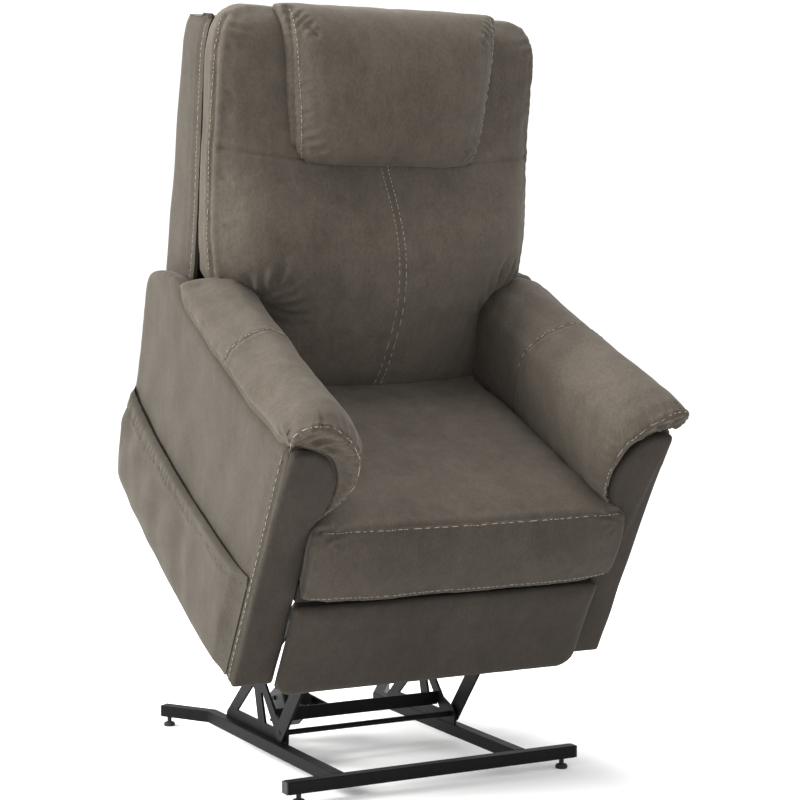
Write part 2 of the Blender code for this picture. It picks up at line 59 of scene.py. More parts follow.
def smooth(points, count, closed=False):
    """count points on a Catmull-Rom curve through points, evenly spaced."""
    p = np.array(points, float)
    if closed:
        p = np.vstack([p[-1], p, p[0], p[1]])
    else:
        p = np.vstack([2 * p[0] - p[1], p, 2 * p[-1] - p[-2]])
    out = []
    t = np.linspace(0, 1, 17)[:-1, None]
    for i in range(1, len(p) - 2):
        a, b, c, d = p[i - 1 : i + 3]
        square, cube = 2 * a - 5 * b + 4 * c - d, 3 * b - a - 3 * c + d
        out.append(0.5 * (2 * b + (c - a) * t + square * t**2 + cube * t**3))
    out = np.vstack(out + [p[-2][None]])
    return resample(out, count, closed)


def resample(points, count, closed=False):
    """count points evenly spaced along the straight runs between points."""
    p = np.array(points, float)
    s = np.r_[0, np.cumsum(np.linalg.norm(np.diff(p, axis=0), axis=1))]
    at = np.linspace(0, s[-1], count + 1)[:-1] if closed else np.linspace(0, s[-1], count)
    return np.stack([np.interp(at, s, p[:, k]) for k in range(p.shape[1])], 1)


def step(x, a, b):
    """0 at a, 1 at b, with a smooth rise between."""
    t = np.clip((np.asarray(x, float) - a) / (b - a), 0, 1)
    return t * t * (3 - 2 * t)


def ripple(co, no, *waves):
    """Soft random swells over the cloth, one for each (size, height, seed)."""
    co += no * sum(wave(co, size, seed) * height for size, height, seed in waves)[:, None]


def bell(x, middle, width):
    return np.exp(-(((np.asarray(x, float) - middle) / width) ** 2))


def wave(co, scale, seed):
    """A smooth random field from -1 to 1, about scale metres from hill to hill."""
    rng = np.random.default_rng(seed)
    total = np.zeros(len(co))
    for _ in range(9):
        k = rng.normal(size=3)
        k *= 2 * pi / (scale * np.linalg.norm(k) * rng.uniform(0.7, 1.5))
        total += np.sin(co @ k + rng.uniform(0, 2 * pi))
    return total / 4.5


def table_at(table, x):
    """The value at x in a table of (x, value) rows, with straight runs between the rows."""
    t = np.array(table)
    return np.interp(x, t[:, 0], t[:, 1])


def inset_outlines(outline, count, insets):
    """Copies of a closed outline with count points, each moved inward by one of the insets."""
    edge = resample(np.array([*outline, outline[0]], float), count, True)
    tangent = np.roll(edge, -1, 0) - np.roll(edge, 1, 0)
    tangent /= np.linalg.norm(tangent, axis=1, keepdims=True)
    inward = np.stack([-tangent[:, 1], tangent[:, 0]], 1)
    return [edge + inward * inset for inset in insets]


def near(co, path, reach):
    """(indices of co within reach of path, their distances, the length along the path there)."""
    p = np.array(path, float)
    length = np.linalg.norm(np.diff(p, axis=0), axis=1).sum()
    p = resample(p, max(3, int(length / 0.002)))
    s = np.linspace(0, length, len(p))
    hit = np.flatnonzero(((co > p.min(0) - reach) & (co < p.max(0) + reach)).all(1))
    if not len(hit):
        return hit, np.zeros(0), np.zeros(0)
    d = np.empty(len(hit))
    at = np.empty(len(hit), int)
    for i in range(0, len(hit), 4000):
        gap = np.linalg.norm(co[hit[i : i + 4000], None] - p[None], axis=2)
        at[i : i + 4000] = gap.argmin(1)
        d[i : i + 4000] = gap.min(1)
    keep = d < reach
    return hit[keep], d[keep], s[at[keep]]


def groove(co, no, path, depth=0.003, width=0.005, puff=0.0, pucker=0.0, pitch=0.02, seed=1):
    """Presses a sewn line into the surface, swells the cloth beside it, and puckers it."""
    hit, d, s = near(co, path, 6 * width + 0.03)
    rng = np.random.default_rng(seed)
    phase = rng.uniform(0, 6, 3)
    drift = 1.7 * np.sin(2 * pi * s / (pitch * 4.7) + phase[1])
    beat = np.sin(2 * pi * s / pitch + phase[0] + drift)
    move = -depth * np.exp(-((d / width) ** 2))
    move += puff * np.exp(-(((d - 2.6 * width) / (1.6 * width)) ** 2))
    move += pucker * beat * np.exp(-(((d - 1.8 * width) / (2.2 * width)) ** 2))
    co[hit] += no[hit] * move[:, None]


def inside(points, outline):
    """1 for each 2-D point within the closed outline, else 0."""
    result = np.zeros(len(points), bool)
    for (x0, z0), (x1, z1) in zip(outline, np.roll(outline, -1, 0)):
        if z0 == z1:
            continue
        spans = (points[:, 1] < z0) != (points[:, 1] < z1)
        result ^= spans & (points[:, 0] < x0 + (points[:, 1] - z0) * (x1 - x0) / (z1 - z0))
    return result.astype(float)


def crease(co, no, path, depth, width):
    """One soft fold: a valley that fades at both ends, with a ridge on each side."""
    p = np.array(path, float)
    length = np.linalg.norm(np.diff(p, axis=0), axis=1).sum()
    hit, d, s = near(co, path, 5 * width)
    fade = step(s, 0, 0.25 * length) * (1 - step(s, 0.45 * length, length))
    move = -depth * np.exp(-((d / width) ** 2)) + 0.55 * depth * np.exp(
        -(((d - 2 * width) / width) ** 2)
    )
    co[hit] += no[hit] * (move * fade)[:, None]


# ---------------------------------------------------------------- meshes


def loft(rings):
    """(vertices, faces) through closed rings of equal point counts, with fans at both ends."""
    n = len(rings[0])
    verts = np.vstack([np.array(r, float) for r in rings])
    faces = []
    for i in range(len(rings) - 1):
        for j in range(n):
            k = (j + 1) % n
            faces.append((i * n + j, i * n + k, (i + 1) * n + k, (i + 1) * n + j))
    first, last = len(verts), len(verts) + 1
    verts = np.vstack([verts, np.mean(rings[0], 0)[None], np.mean(rings[-1], 0)[None]])
    base = (len(rings) - 1) * n
    for j in range(n):
        k = (j + 1) % n
        faces.append((first, k, j))
        faces.append((last, base + j, base + k))
    return verts, faces


def grid(rows):
    """(vertices, faces) of an open grid of rows of points."""
    n = len(rows[0])
    faces = [
        (i * n + j, i * n + j + 1, (i + 1) * n + j + 1, (i + 1) * n + j)
        for i in range(len(rows) - 1)
        for j in range(n - 1)
    ]
    return np.vstack([np.array(r, float) for r in rows]), faces


def new_mesh(name, verts, faces):
    mesh = bpy.data.meshes.new(name)
    mesh.from_pydata([tuple(v) for v in np.asarray(verts)], [], [tuple(int(i) for i in f) for f in faces])
    mesh.validate()
    obj = bpy.data.objects.new(name, mesh)
    bpy.context.scene.collection.objects.link(obj)
    return obj


def outward(obj):
    """Merges doubled points and turns every face outward."""
    bm = bmesh.new()
    bm.from_mesh(obj.data)
    bmesh.ops.remove_doubles(bm, verts=bm.verts, dist=1e-6)
    bmesh.ops.recalc_face_normals(bm, faces=bm.faces)
    bm.to_mesh(obj.data)
    bm.free()


def bake(obj):
    """Replaces the mesh by what its modifiers make of it."""
    graph = bpy.context.evaluated_depsgraph_get()
    mesh = bpy.data.meshes.new_from_object(obj.evaluated_get(graph))
    old = obj.data
    obj.modifiers.clear()
    obj.data = mesh
    bpy.data.meshes.remove(old)
    mesh.name = obj.name


def modify(obj, kind, **settings):
    m = obj.modifiers.new(kind.lower(), kind)
    for key, value in settings.items():
        setattr(m, key, value)


def thicken(obj, thickness, offset):
    """Gives a single layer of cloth its thickness, and one subdivision."""
    modify(obj, "SOLIDIFY", thickness=thickness, offset=offset)
    modify(obj, "SUBSURF", levels=1, render_levels=1)
    bake(obj)


def coords(obj):
    co = np.empty(len(obj.data.vertices) * 3, np.float32)
    obj.data.vertices.foreach_get("co", co)
    return co.reshape(-1, 3).astype(float)


def set_coords(obj, co):
    obj.data.vertices.foreach_set("co", np.asarray(co, np.float32).ravel())
    obj.data.update()


def normals(obj):
    no = np.empty(len(obj.data.vertices) * 3, np.float32)
    obj.data.vertices.foreach_get("normal", no)
    return no.reshape(-1, 3).astype(float)


CLOTH_FRAMES = 20
AIR_PRESSURE = 4.0


def inflate(obj, cap):
    """Lets air pressure fill the cloth; no point moves further than cap."""
    start = coords(obj)
    scene = bpy.context.scene
    m = obj.modifiers.new("cloth", "CLOTH")
    s = m.settings
    s.quality = 4
    s.use_pressure = True
    s.uniform_pressure_force = AIR_PRESSURE
    s.tension_stiffness = 18
    s.compression_stiffness = 12
    s.shear_stiffness = 8
    s.bending_stiffness = 1.2
    s.effector_weights.gravity = 0
    m.collision_settings.use_collision = False
    m.point_cache.frame_start = 1
    m.point_cache.frame_end = CLOTH_FRAMES
    for f in range(1, CLOTH_FRAMES + 1):
        scene.frame_set(f)
    end = np.empty(len(start) * 3, np.float32)
    graph = bpy.context.evaluated_depsgraph_get()
    obj.evaluated_get(graph).data.vertices.foreach_get("co", end)
    end = end.reshape(-1, 3).astype(float)
    obj.modifiers.remove(m)
    scene.frame_set(1)
    move = end - start
    size = np.linalg.norm(move, axis=1, keepdims=True)
    set_coords(obj, start + move * np.minimum(1, cap / np.maximum(size, 1e-9)))


def settle(obj, times):
    """Evens out the mesh a little after it has been filled."""
    modify(obj, "SMOOTH", factor=0.5, iterations=times)
    bake(obj)


def shade_smooth(obj):
    obj.data.polygons.foreach_set("use_smooth", [True] * len(obj.data.polygons))
    obj.data.update()


class Skin:
    """A cloth surface, in its own frame, that seams and stitches are laid on."""

    def __init__(self, obj):
        co = coords(obj)
        self.tree = BVHTree.FromPolygons(
            [tuple(v) for v in co], [tuple(p.vertices) for p in obj.data.polygons]
        )

    def drop(self, points, direction=None):
        """The points moved onto the surface, along direction or to the nearest place."""
        found, facing = [], []
        for p in points:
            p = Vector(p)
            spot = normal = None
            if direction is not None:
                d = Vector(direction).normalized()
                spot, normal, _, _ = self.tree.ray_cast(p - d * 0.25, d)
            if spot is None:
                spot, normal, _, _ = self.tree.find_nearest(p)
            found.append(tuple(spot))
            facing.append(tuple(normal))
        both = np.hstack([np.array(found), np.array(facing)])
        for _ in range(2):
            both[1:-1] = (both[:-2] + 2 * both[1:-1] + both[2:]) / 4
        return both[:, :3], both[:, 3:]


def finish_soft(obj, place, body, replaced, material):
    """Puts a cover in its place on its body, and hides the plain solids it stands for."""
    shade_smooth(obj)
    obj.data.transform(place)
    obj.data.materials.clear()
    obj.data.materials.append(material)
    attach(obj, body)
    if replaced:
        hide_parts(*replaced)


def soft(name, shell, voxel, cap, shape, evened):
    """A cloth form: remeshed, filled with air, evened, subdivided, then sewn and creased by shape."""
    obj = new_mesh(name, *shell)
    outward(obj)
    modify(obj, "REMESH", mode="VOXEL", voxel_size=voxel)
    bake(obj)
    if cap:
        inflate(obj, cap)
    settle(obj, evened)
    modify(obj, "SUBSURF", levels=1, render_levels=1)
    bake(obj)
    sew(obj, shape)
    return obj


def sew(obj, shape):
    """shape(co, no, skin) moves the points co; no holds the outward direction at each of them."""
    skin = Skin(obj)
    co, no = coords(obj), normals(obj)
    shape(co, no, skin)
    set_coords(obj, co)


# ---------------------------------------------------------------- stitches


def stitch_mesh(runs, long=0.0075, gap=0.0035, thick=0.0008):
    """(vertices, faces) of short raised threads along each run of (points, normals)."""
    verts, faces = [], []
    for points, facing in runs:
        length = np.linalg.norm(np.diff(points, axis=0), axis=1).sum()
        count = max(1, int(length / (long + gap)))
        dense = max(8, count * 6)
        both = resample(np.hstack([points, facing]), dense)
        s = np.linspace(0, length, dense)
        pitch = length / count
        for i in range(count):
            at = (i + 0.5) * pitch + np.linspace(-0.5, 0.5, 5) * (pitch - gap)
            p = np.stack([np.interp(at, s, both[:, k]) for k in range(3)], 1)
            n = np.stack([np.interp(at, s, both[:, k + 3]) for k in range(3)], 1)
            n /= np.linalg.norm(n, axis=1, keepdims=True)
            t = np.gradient(p, axis=0)
            t /= np.maximum(np.linalg.norm(t, axis=1, keepdims=True), 1e-9)
            side = np.cross(n, t)
            lift = np.array([-0.9, 0.45, 0.75, 0.45, -0.9])[:, None] * thick
            wide = np.array([0.55, 1.0, 1.1, 1.0, 0.55])[:, None] * thick
            start = len(verts)
            for j in range(5):
                for a in range(6):
                    q = p[j] + n[j] * lift[j] + wide[j] * (
                        side[j] * cos(a * pi / 3) + 0.8 * n[j] * sin(a * pi / 3)
                    )
                    verts.append(q)
            for j in range(4):
                for a in range(6):
                    b = (a + 1) % 6
                    ring = start + j * 6
                    faces.append((ring + a, ring + b, ring + 6 + b, ring + 6 + a))
            faces.append(tuple(start + a for a in range(5, -1, -1)))
            faces.append(tuple(start + 24 + a for a in range(6)))
    return np.array(verts), faces


def stitches(name, runs, place, body, material=None, **sizes):
    obj = new_mesh(name, *stitch_mesh(runs, **sizes))
    shade_smooth(obj)
    obj.data.transform(place)
    obj.data.materials.append(material or THREAD)
    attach(obj, body)


def beside(points, facing, offset):
    """The run moved sideways on the surface by offset."""
    both = np.hstack([points, facing])
    for _ in range(3):
        both[1:-1] = (both[:-2] + both[1:-1] + both[2:]) / 3
    both = resample(both, len(both))
    t = np.gradient(both[:, :3], axis=0)
    t /= np.maximum(np.linalg.norm(t, axis=1, keepdims=True), 1e-9)
    return both[:, :3] + np.cross(both[:, 3:], t) * offset


# ---------------------------------------------------------------- materials


class Nodes:
    def __init__(self, name):
        self.material = bpy.data.materials.new(name)
        self.material.use_nodes = True
        self.tree = self.material.node_tree
        self.shader = self.tree.nodes["Principled BSDF"]
        self.at = self.add("ShaderNodeTexCoord").outputs["Object"]

    def add(self, kind, **settings):
        node = self.tree.nodes.new(kind)
        for key, value in settings.items():
            setattr(node, key, value)
        return node

    def link(self, a, b):
        self.tree.links.new(a, b)

    def texture(self, kind, scale, **settings):
        node = self.add(kind, **settings)
        node.inputs["Scale"].default_value = scale
        self.link(self.at, node.inputs["Vector"])
        return node

    def noise(self, scale, detail, rough, stretch=None, twist=0.0):
        node = self.add("ShaderNodeTexNoise")
        settings = {"Scale": scale, "Detail": detail, "Roughness": rough, "Distortion": twist}
        for key, value in settings.items():
            node.inputs[key].default_value = value
        source = self.at
        if stretch:
            mapping = self.add("ShaderNodeMapping")
            mapping.inputs["Scale"].default_value = stretch
            self.link(source, mapping.inputs["Vector"])
            source = mapping.outputs["Vector"]
        self.link(source, node.inputs["Vector"])
        return node.outputs["Fac"]

    def ramp(self, value, stops):
        node = self.add("ShaderNodeValToRGB")
        ramp = node.color_ramp
        while len(ramp.elements) < len(stops):
            ramp.elements.new(0.5)
        for element, (at, colour) in zip(ramp.elements, stops):
            element.position = at
            element.color = (*colour, 1) if len(colour) == 3 else colour
        self.link(value, node.inputs["Fac"])
        return node.outputs["Color"]

    def scaled(self, value, by, plus):
        return self.math("ADD", self.math("MULTIPLY", value, by), plus)

    def math(self, kind, a, b):
        node = self.add("ShaderNodeMath", operation=kind)
        for socket, value in zip(node.inputs, (a, b)):
            if isinstance(value, (int, float)):
                socket.default_value = value
            else:
                self.link(value, socket)
        return node.outputs["Value"]

    def mix(self, kind, factor, a, b):
        node = self.add("ShaderNodeMix", data_type="RGBA", blend_type=kind)
        for socket, value in ((node.inputs[0], factor), (node.inputs[6], a), (node.inputs[7], b)):
            if isinstance(value, (int, float)):
                socket.default_value = value
            elif isinstance(value, tuple):
                socket.default_value = (*value, 1)
            else:
                self.link(value, socket)
        return node.outputs[2]

    def bump(self, height, strength, distance, under=None):
        node = self.add("ShaderNodeBump")
        node.inputs["Strength"].default_value = strength
        node.inputs["Distance"].default_value = distance
        self.link(height, node.inputs["Height"])
        if under is not None:
            self.link(under, node.inputs["Normal"])
        return node.outputs["Normal"]

    def set(self, **values):
        for key, value in values.items():
            socket = self.shader.inputs[key.replace("_", " ")]
            if hasattr(value, "links"):
                self.link(value, socket)
            else:
                socket.default_value = value


def suede(name, dark, light, lift=1.0):
    n = Nodes(name)
    brushed = n.noise(5.5, 4, 0.55, (1.0, 1.0, 0.42), 0.35)
    cloud = n.noise(19, 4, 0.6, None, 0.5)
    fibre = n.noise(260, 4, 0.7, (1.0, 1.0, 0.5))
    grain = n.noise(1150, 2, 0.6)
    streak = n.noise(60, 4, 0.65, (1.0, 1.0, 0.22), 0.6)
    blend = n.math("ADD", n.math("MULTIPLY", brushed, 0.42), n.math("MULTIPLY", cloud, 0.33))
    blend = n.math("ADD", blend, n.math("MULTIPLY", streak, 0.25))
    colour = n.ramp(blend, [(0.38, dark), (0.62, light)])
    specks = n.ramp(fibre, [(0.30, (0.72, 0.72, 0.72)), (0.70, (1.22, 1.21, 1.20))])
    colour = n.mix("MULTIPLY", 0.75, colour, specks)
    under = n.bump(cloud, 0.25, 0.0022)
    height = n.math("ADD", n.math("MULTIPLY", fibre, 0.7), n.math("MULTIPLY", grain, 0.3))
    n.set(
        Base_Color=colour,
        Roughness=n.scaled(cloud, 0.12, 0.82),
        Normal=n.bump(height, 0.5, 0.0006, under),
        Sheen_Weight=0.10 * lift,
        Sheen_Roughness=0.45,
        Sheen_Tint=(0.80, 0.74, 0.66, 1),
        Specular_IOR_Level=0.22,
    )
    return n.material


def thread():
    n = Nodes("stitch_thread")
    twist = n.noise(900, 2, 0.5, (1.0, 1.0, 3.0))
    n.set(
        Base_Color=n.ramp(twist, [(0.3, (0.17, 0.148, 0.118)), (0.7, (0.27, 0.24, 0.195))]),
        Roughness=0.6,
        Normal=n.bump(twist, 0.5, 0.0003),
        Sheen_Weight=0.2,
    )
    return n.material


def dark_lining():
    n = Nodes("dust_cloth")
    weave = n.texture("ShaderNodeTexVoronoi", 700).outputs["Distance"]
    patch = n.noise(12, 3, 0.5)
    n.set(
        Base_Color=n.ramp(patch, [(0.3, (0.012, 0.011, 0.010)), (0.7, (0.024, 0.022, 0.020))]),
        Roughness=0.93,
        Normal=n.bump(weave, 0.5, 0.0005),
    )
    return n.material


def powder_coat():
    n = Nodes("black_powder_coat")
    peel = n.noise(650, 2, 0.5)
    scuff = n.noise(38, 5, 0.7, (1.0, 1.0, 0.3), 0.3)
    n.set(
        Base_Color=n.ramp(scuff, [(0.40, (0.0022, 0.0020, 0.0024)), (0.78, (0.0055, 0.0050, 0.0056))]),
        Metallic=0.0,
        Roughness=n.scaled(scuff, 0.22, 0.40),
        Normal=n.bump(peel, 0.18, 0.0006),
        Specular_IOR_Level=0.12,
    )
    return n.material


def zinc():
    n = Nodes("zinc_plate")
    spangle = n.texture("ShaderNodeTexVoronoi", 160).outputs["Distance"]
    smear = n.noise(60, 4, 0.6)
    n.set(
        Base_Color=n.ramp(spangle, [(0.1, (0.62, 0.62, 0.60)), (0.8, (0.48, 0.49, 0.50))]),
        Metallic=1.0,
        Roughness=n.scaled(smear, 0.3, 0.22),
        Normal=n.bump(smear, 0.12, 0.0008),
    )
    return n.material


def ground_rod():
    n = Nodes("ground_bright_steel")
    turned = n.noise(420, 3, 0.6, (0.1, 1.0, 1.0))
    n.set(
        Base_Color=n.ramp(turned, [(0.3, (0.60, 0.60, 0.61)), (0.7, (0.72, 0.72, 0.73))]),
        Metallic=1.0,
        Roughness=n.scaled(turned, 0.15, 0.12),
        Normal=n.bump(turned, 0.08, 0.0003),
    )
    return n.material


def ply():
    n = Nodes("bare_plywood")
    grain = n.noise(42, 6, 0.65, (0.12, 1.0, 1.0), 1.2)
    pore = n.noise(600, 2, 0.6, (0.08, 1.0, 1.0))
    plies = n.texture("ShaderNodeTexWave", 90, wave_type="BANDS", bands_direction="Z")
    plies.inputs["Distortion"].default_value = 1.2
    colour = n.ramp(grain, [(0.3, (0.36, 0.24, 0.13)), (0.7, (0.58, 0.43, 0.27))])
    colour = n.mix("MULTIPLY", 0.25, colour, plies.outputs["Color"])
    n.set(
        Base_Color=colour,
        Roughness=0.72,
        Normal=n.bump(n.math("ADD", grain, pore), 0.25, 0.0007),
    )
    return n.material


def plastic(name, dark, light, rough, scale=900):
    n = Nodes(name)
    spark = n.noise(scale, 2, 0.5)
    wear = n.noise(30, 4, 0.6)
    n.set(
        Base_Color=n.ramp(wear, [(0.35, dark), (0.75, light)]),
        Roughness=n.scaled(wear, 0.2, rough),
        Normal=n.bump(spark, 0.22, 0.0004),
        Specular_IOR_Level=0.4,
    )
    return n.material


def webbing():
    n = Nodes("woven_webbing")
    rib = n.texture("ShaderNodeTexWave", 160, wave_type="BANDS", bands_direction="X")
    fleck = n.noise(500, 2, 0.5)
    n.set(
        Base_Color=n.ramp(fleck, [(0.3, (0.045, 0.040, 0.034)), (0.7, (0.095, 0.085, 0.070))]),
        Roughness=0.88,
        Normal=n.bump(rib.outputs["Fac"], 0.6, 0.0008),
    )
    return n.material


SUEDE = suede("taupe_suede", (0.053, 0.0438, 0.0340), (0.082, 0.0695, 0.0553))
# A darker copy of the same suede for the outer side panels, the back shell and the pocket: painted shade.
SUEDE_SIDE_SHADED = suede("taupe_suede_side_shaded", (0.0405, 0.0342, 0.0265), (0.0603, 0.0518, 0.0412), 1.2)
# A darker copy of the same suede for the seat's front below its seam: painted shade.
SUEDE_BOXING_SHADED = suede("taupe_suede_boxing_shaded", (0.0355, 0.0290, 0.0225), (0.0545, 0.0455, 0.0362), 0.8)
# The darkest copy of the same suede, for the footrest and the arm facings: painted shade where they face down
# or lie in shade.
SUEDE_DEEP_SHADED = suede("taupe_suede_deep_shaded", (0.0245, 0.0198, 0.0155), (0.0375, 0.0308, 0.0246), 0.6)
THREAD = thread()
LINING = dark_lining()
FINISHES = {
    "black_steel": powder_coat(),
    "zinc_steel": zinc(),
    "chrome_rod": ground_rod(),
    "plywood": ply(),
    "black_plastic": plastic("black_plastic", (0.012, 0.012, 0.013), (0.024, 0.024, 0.026), 0.38),
    "button_grey": plastic("grey_button", (0.34, 0.34, 0.34), (0.46, 0.46, 0.46), 0.45),
    "webbing": webbing(),
    "rubber": plastic("black_rubber", (0.010, 0.010, 0.010), (0.022, 0.021, 0.020), 0.7, 500),
    "upholstery": SUEDE,
}

for part in frame["record"]["subparts"]:
    node = NODES[part["node"]]
    node.data.materials.clear()
    node.data.materials.append(FINISHES[part["material_slot"]])
# The cloth is wrapped round these boards, and the axle is painted with the frame. The dark cloth on the
# seat's front rail also serves as a painted shadow line between the seat and the footrest.
for name in ("seat_front_rail", "footrest_board"):
    NODES[name].data.materials[0] = LINING
NODES["front_pivot_axle"].data.materials[0] = FINISHES["black_steel"]


# ---------------------------------------------------------------- arms

# Cross-sections of the rolled arm, (x, z) from the outer seam over the top to the seat.
ARM_FRONT = [
    (0.4160, 0.541), (0.4300, 0.567), (0.4230, 0.602), (0.392, 0.631), (0.348, 0.629),
    (0.306, 0.597), (0.278, 0.538), (0.272, 0.468), (0.296, 0.405), (0.336, 0.350),
]
ARM_BACK = [
    (0.4160, 0.535), (0.4300, 0.546), (0.4160, 0.558), (0.380, 0.563), (0.337, 0.570),
    (0.296, 0.574), (0.268, 0.556), (0.262, 0.500), (0.262, 0.420), (0.262, 0.345),
]
ARM_INSIDE = [(0.345, 0.345), (0.400, 0.375), (0.408, 0.46)]
# The front rim (x, y, z) and, inside it, the seam where the plain front facing begins.
RIM = [
    (0.4160, -0.009, 0.536), (0.4290, -0.022, 0.566), (0.4245, -0.037, 0.597), (0.405, -0.049, 0.615),
    (0.371, -0.054, 0.612), (0.331, -0.051, 0.586), (0.298, -0.043, 0.541), (0.286, -0.030, 0.472),
    (0.300, -0.014, 0.405), (0.333, -0.006, 0.352),
]
FACING_SEAM = [
    (0.417, -0.007, 0.534), (0.402, -0.012, 0.538), (0.382, -0.014, 0.538), (0.360, -0.013, 0.532),
    (0.339, -0.011, 0.517), (0.322, -0.009, 0.494), (0.311, -0.008, 0.462), (0.308, -0.008, 0.428),
    (0.317, -0.007, 0.391), (0.336, -0.006, 0.356),
]
ARM_LENGTH = 0.60
# Height of the long outer seam along the arm: (y, z).
OUTER_SEAM = [(0, 0.543), (0.16, 0.529), (0.325, 0.525), (0.45, 0.528), (0.548, 0.534), (0.60, 0.548)]


def arm_section(y):
    t = np.clip(y / ARM_LENGTH, 0, 1)
    keys = (1 - t) * np.array(ARM_FRONT) + t * np.array(ARM_BACK)
    keys[0, 1] = table_at(OUTER_SEAM, y)
    return keys


def cross_seam():
    """The seam that runs over the arm from side to side, further back on the inner side."""
    at = np.interp(np.arange(10), [0, 2, 5, 9], [0.298, 0.303, 0.322, 0.350])
    return [(x, y, z) for (x, z), y in zip(arm_section(0.31), at)]


def closed_ring(curve3):
    """The 44 points of a section: the visible curve, then back through the inside of the arm."""
    inner = [(x, curve3[-1][1] * 0.5 + curve3[0][1] * 0.5, z) for x, z in ARM_INSIDE]
    tail = smooth([curve3[-1], *inner, curve3[0]], 14)[1:-1]
    return np.vstack([smooth(curve3, 32), tail])


def arm_pad_shell(sign):
    rings = []
    seam = np.array([(x, y + 0.012, z) for x, y, z in FACING_SEAM])
    middle = np.array([(0.372, 0.0, 0.46)])
    for t in (0.0, 0.5, 1.0):
        rings.append(closed_ring(list(middle + (seam - middle) * (0.4 + 0.6 * t))))
    for t, dip in ((0.3, 0.013), (0.65, 0.010), (0.9, 0.002)):
        ring = (1 - t) * np.array(FACING_SEAM) + t * np.array(RIM)
        ring[:, 1] += dip * np.sin(np.linspace(0.3, pi, len(ring)))
        rings.append(closed_ring(list(ring)))
    rings.append(closed_ring(list(RIM)))
    first = np.array([(x, 0.0, z) for x, z in arm_section(0.0)])
    for t in (0.25, 0.6):
        ring = (1 - t) * np.array(RIM) + t * (first + (0, 0.012, 0))
        ring += (first - np.array(RIM)) * (0.16, 0, 0.16) * np.sin(pi * t)
        rings.append(closed_ring(list(ring)))
    for y in np.linspace(0.03, 0.575, 14):
        rings.append(closed_ring([(x, y, z) for x, z in arm_section(y)]))
    end = np.array([(x, 0.0, z) for x, z in arm_section(0.59)])
    middle = np.array([(0.345, 0.0, 0.47)])
    for grow, y in ((0.97, 0.590), (0.90, 0.598), (0.6, 0.602)):
        rings.append(closed_ring(list(middle + (end - middle) * grow + (0, y, 0))))
    rings = [r * (sign, 1, 1) for r in rings]
    return loft(rings)


GATHER = np.array((0.413, -0.012, 0.540))


def arm_seam(sign):
    """The long seam where the outer panel meets the rolled arm."""
    return np.array([(sign * 0.4235, y, arm_section(y)[0, 1]) for y in np.linspace(0.0, 0.595, 120)])


# Pleats from the facing seam to the rim: (point on the seam, point on the rim, depth), of 100 points each.
RIM_PLEATS = ((4, 16, 0.0030), (7, 25, 0.0040), (10, 34, 0.0042), (14, 43, 0.0036), (19, 52, 0.0026))


def arm_pad_shape(sign):
    def shape(co, no, skin):
        mirror = np.array((sign, 1, 1))
        rim, _ = skin.drop(smooth(RIM, 90) * mirror)
        facing, _ = skin.drop(smooth(FACING_SEAM, 80) * mirror)
        joint, _ = skin.drop(smooth(cross_seam(), 90) * mirror)
        ripple(co, no, (0.16, 0.0012, 3), (0.05, 0.0005, 4))
        groove(co, no, facing, 0.0050, 0.0045, 0.0014)
        groove(co, no, arm_seam(sign), 0.0045, 0.0070, 0.0010)
        groove(co, no, rim, 0.0022, 0.0035, 0.0016, 0.0010, 0.017, 5)
        groove(co, no, joint, 0.0020, 0.0035, 0.0010, 0.0005, 0.022, 6)
        # The band under the rim is hollow, with pleats that fan from its outer end.
        from_rim, from_facing = np.full(len(co), 0.2), np.full(len(co), 0.2)
        for line, store in ((rim, from_rim), (facing, from_facing)):
            hit, d, _ = near(co, line, 0.10)
            store[hit] = d
        band = from_facing / (from_rim + from_facing)
        between = step(from_rim + from_facing, 0.16, 0.09) * step(-no[:, 1], 0.15, 0.5)
        hollow = np.sin(pi * np.clip(band, 0, 1)) ** 0.8 * step(from_rim, 0.001, 0.009)
        rim_outline = np.array([(x, z) for x, _, z in smooth(RIM, 60)])
        hollow *= inside((co * mirror)[:, [0, 2]], rim_outline) * (co[:, 1] < 0.012)
        away = co * mirror - GATHER
        angle = np.arctan2(away[:, 2], -away[:, 0])
        reach = np.linalg.norm(away, axis=1)
        fan = 0.0058 * np.sin(angle * 12 + 1.1 * np.sin(angle * 4))
        fan = fan * step(reach, 0.022, 0.050) * step(reach, 0.14, 0.06)
        co[:, 1] += between * hollow * (0.010 + fan)
        rim_run, seam_run = smooth(RIM, 100), smooth(FACING_SEAM, 100)
        for i, j, deep in RIM_PLEATS:
            line, _ = skin.drop(np.linspace(seam_run[i], rim_run[j], 16) * mirror, (0, 1, 0))
            crease(co, no, line, deep, 0.0034)
        # Small gathers running back over the top from the rim.
        hit, d, s = near(co, rim, 0.06)
        behind = step(d, 0.004, 0.014) * (1 - step(d, 0.02, 0.055)) * facing_back(no[hit])
        beat = np.sin(2 * pi * s / 0.026 + 2 * np.sin(2 * pi * s / 0.13))
        co[hit] += no[hit] * (behind * 0.0016 * beat)[:, None]

    return shape


def facing_back(no):
    """1 where the surface looks up or sideways, 0 where it looks forward."""
    return step(-no[:, 1], 0.75, 0.25)


# The outline (y, z) of the outer panel, from its lower front corner along the bottom.
PANEL_EDGE = [
    (0.001, -0.006), (0.35, -0.004), (0.62, 0.000), (0.668, 0.012), (0.693, 0.038), (0.700, 0.14),
    (0.699, 0.249), (0.713, 0.33), (0.740, 0.44), (0.747, 0.472), (0.735, 0.494), (0.712, 0.511),
    (0.660, 0.535), (0.615, 0.548), (0.590, 0.545), (0.548, 0.533), (0.45, 0.527), (0.325, 0.524),
    (0.16, 0.529), (0.04, 0.540), (0.004, 0.543), (-0.001, 0.52), (-0.001, 0.27), (0.000, 0.01),
]


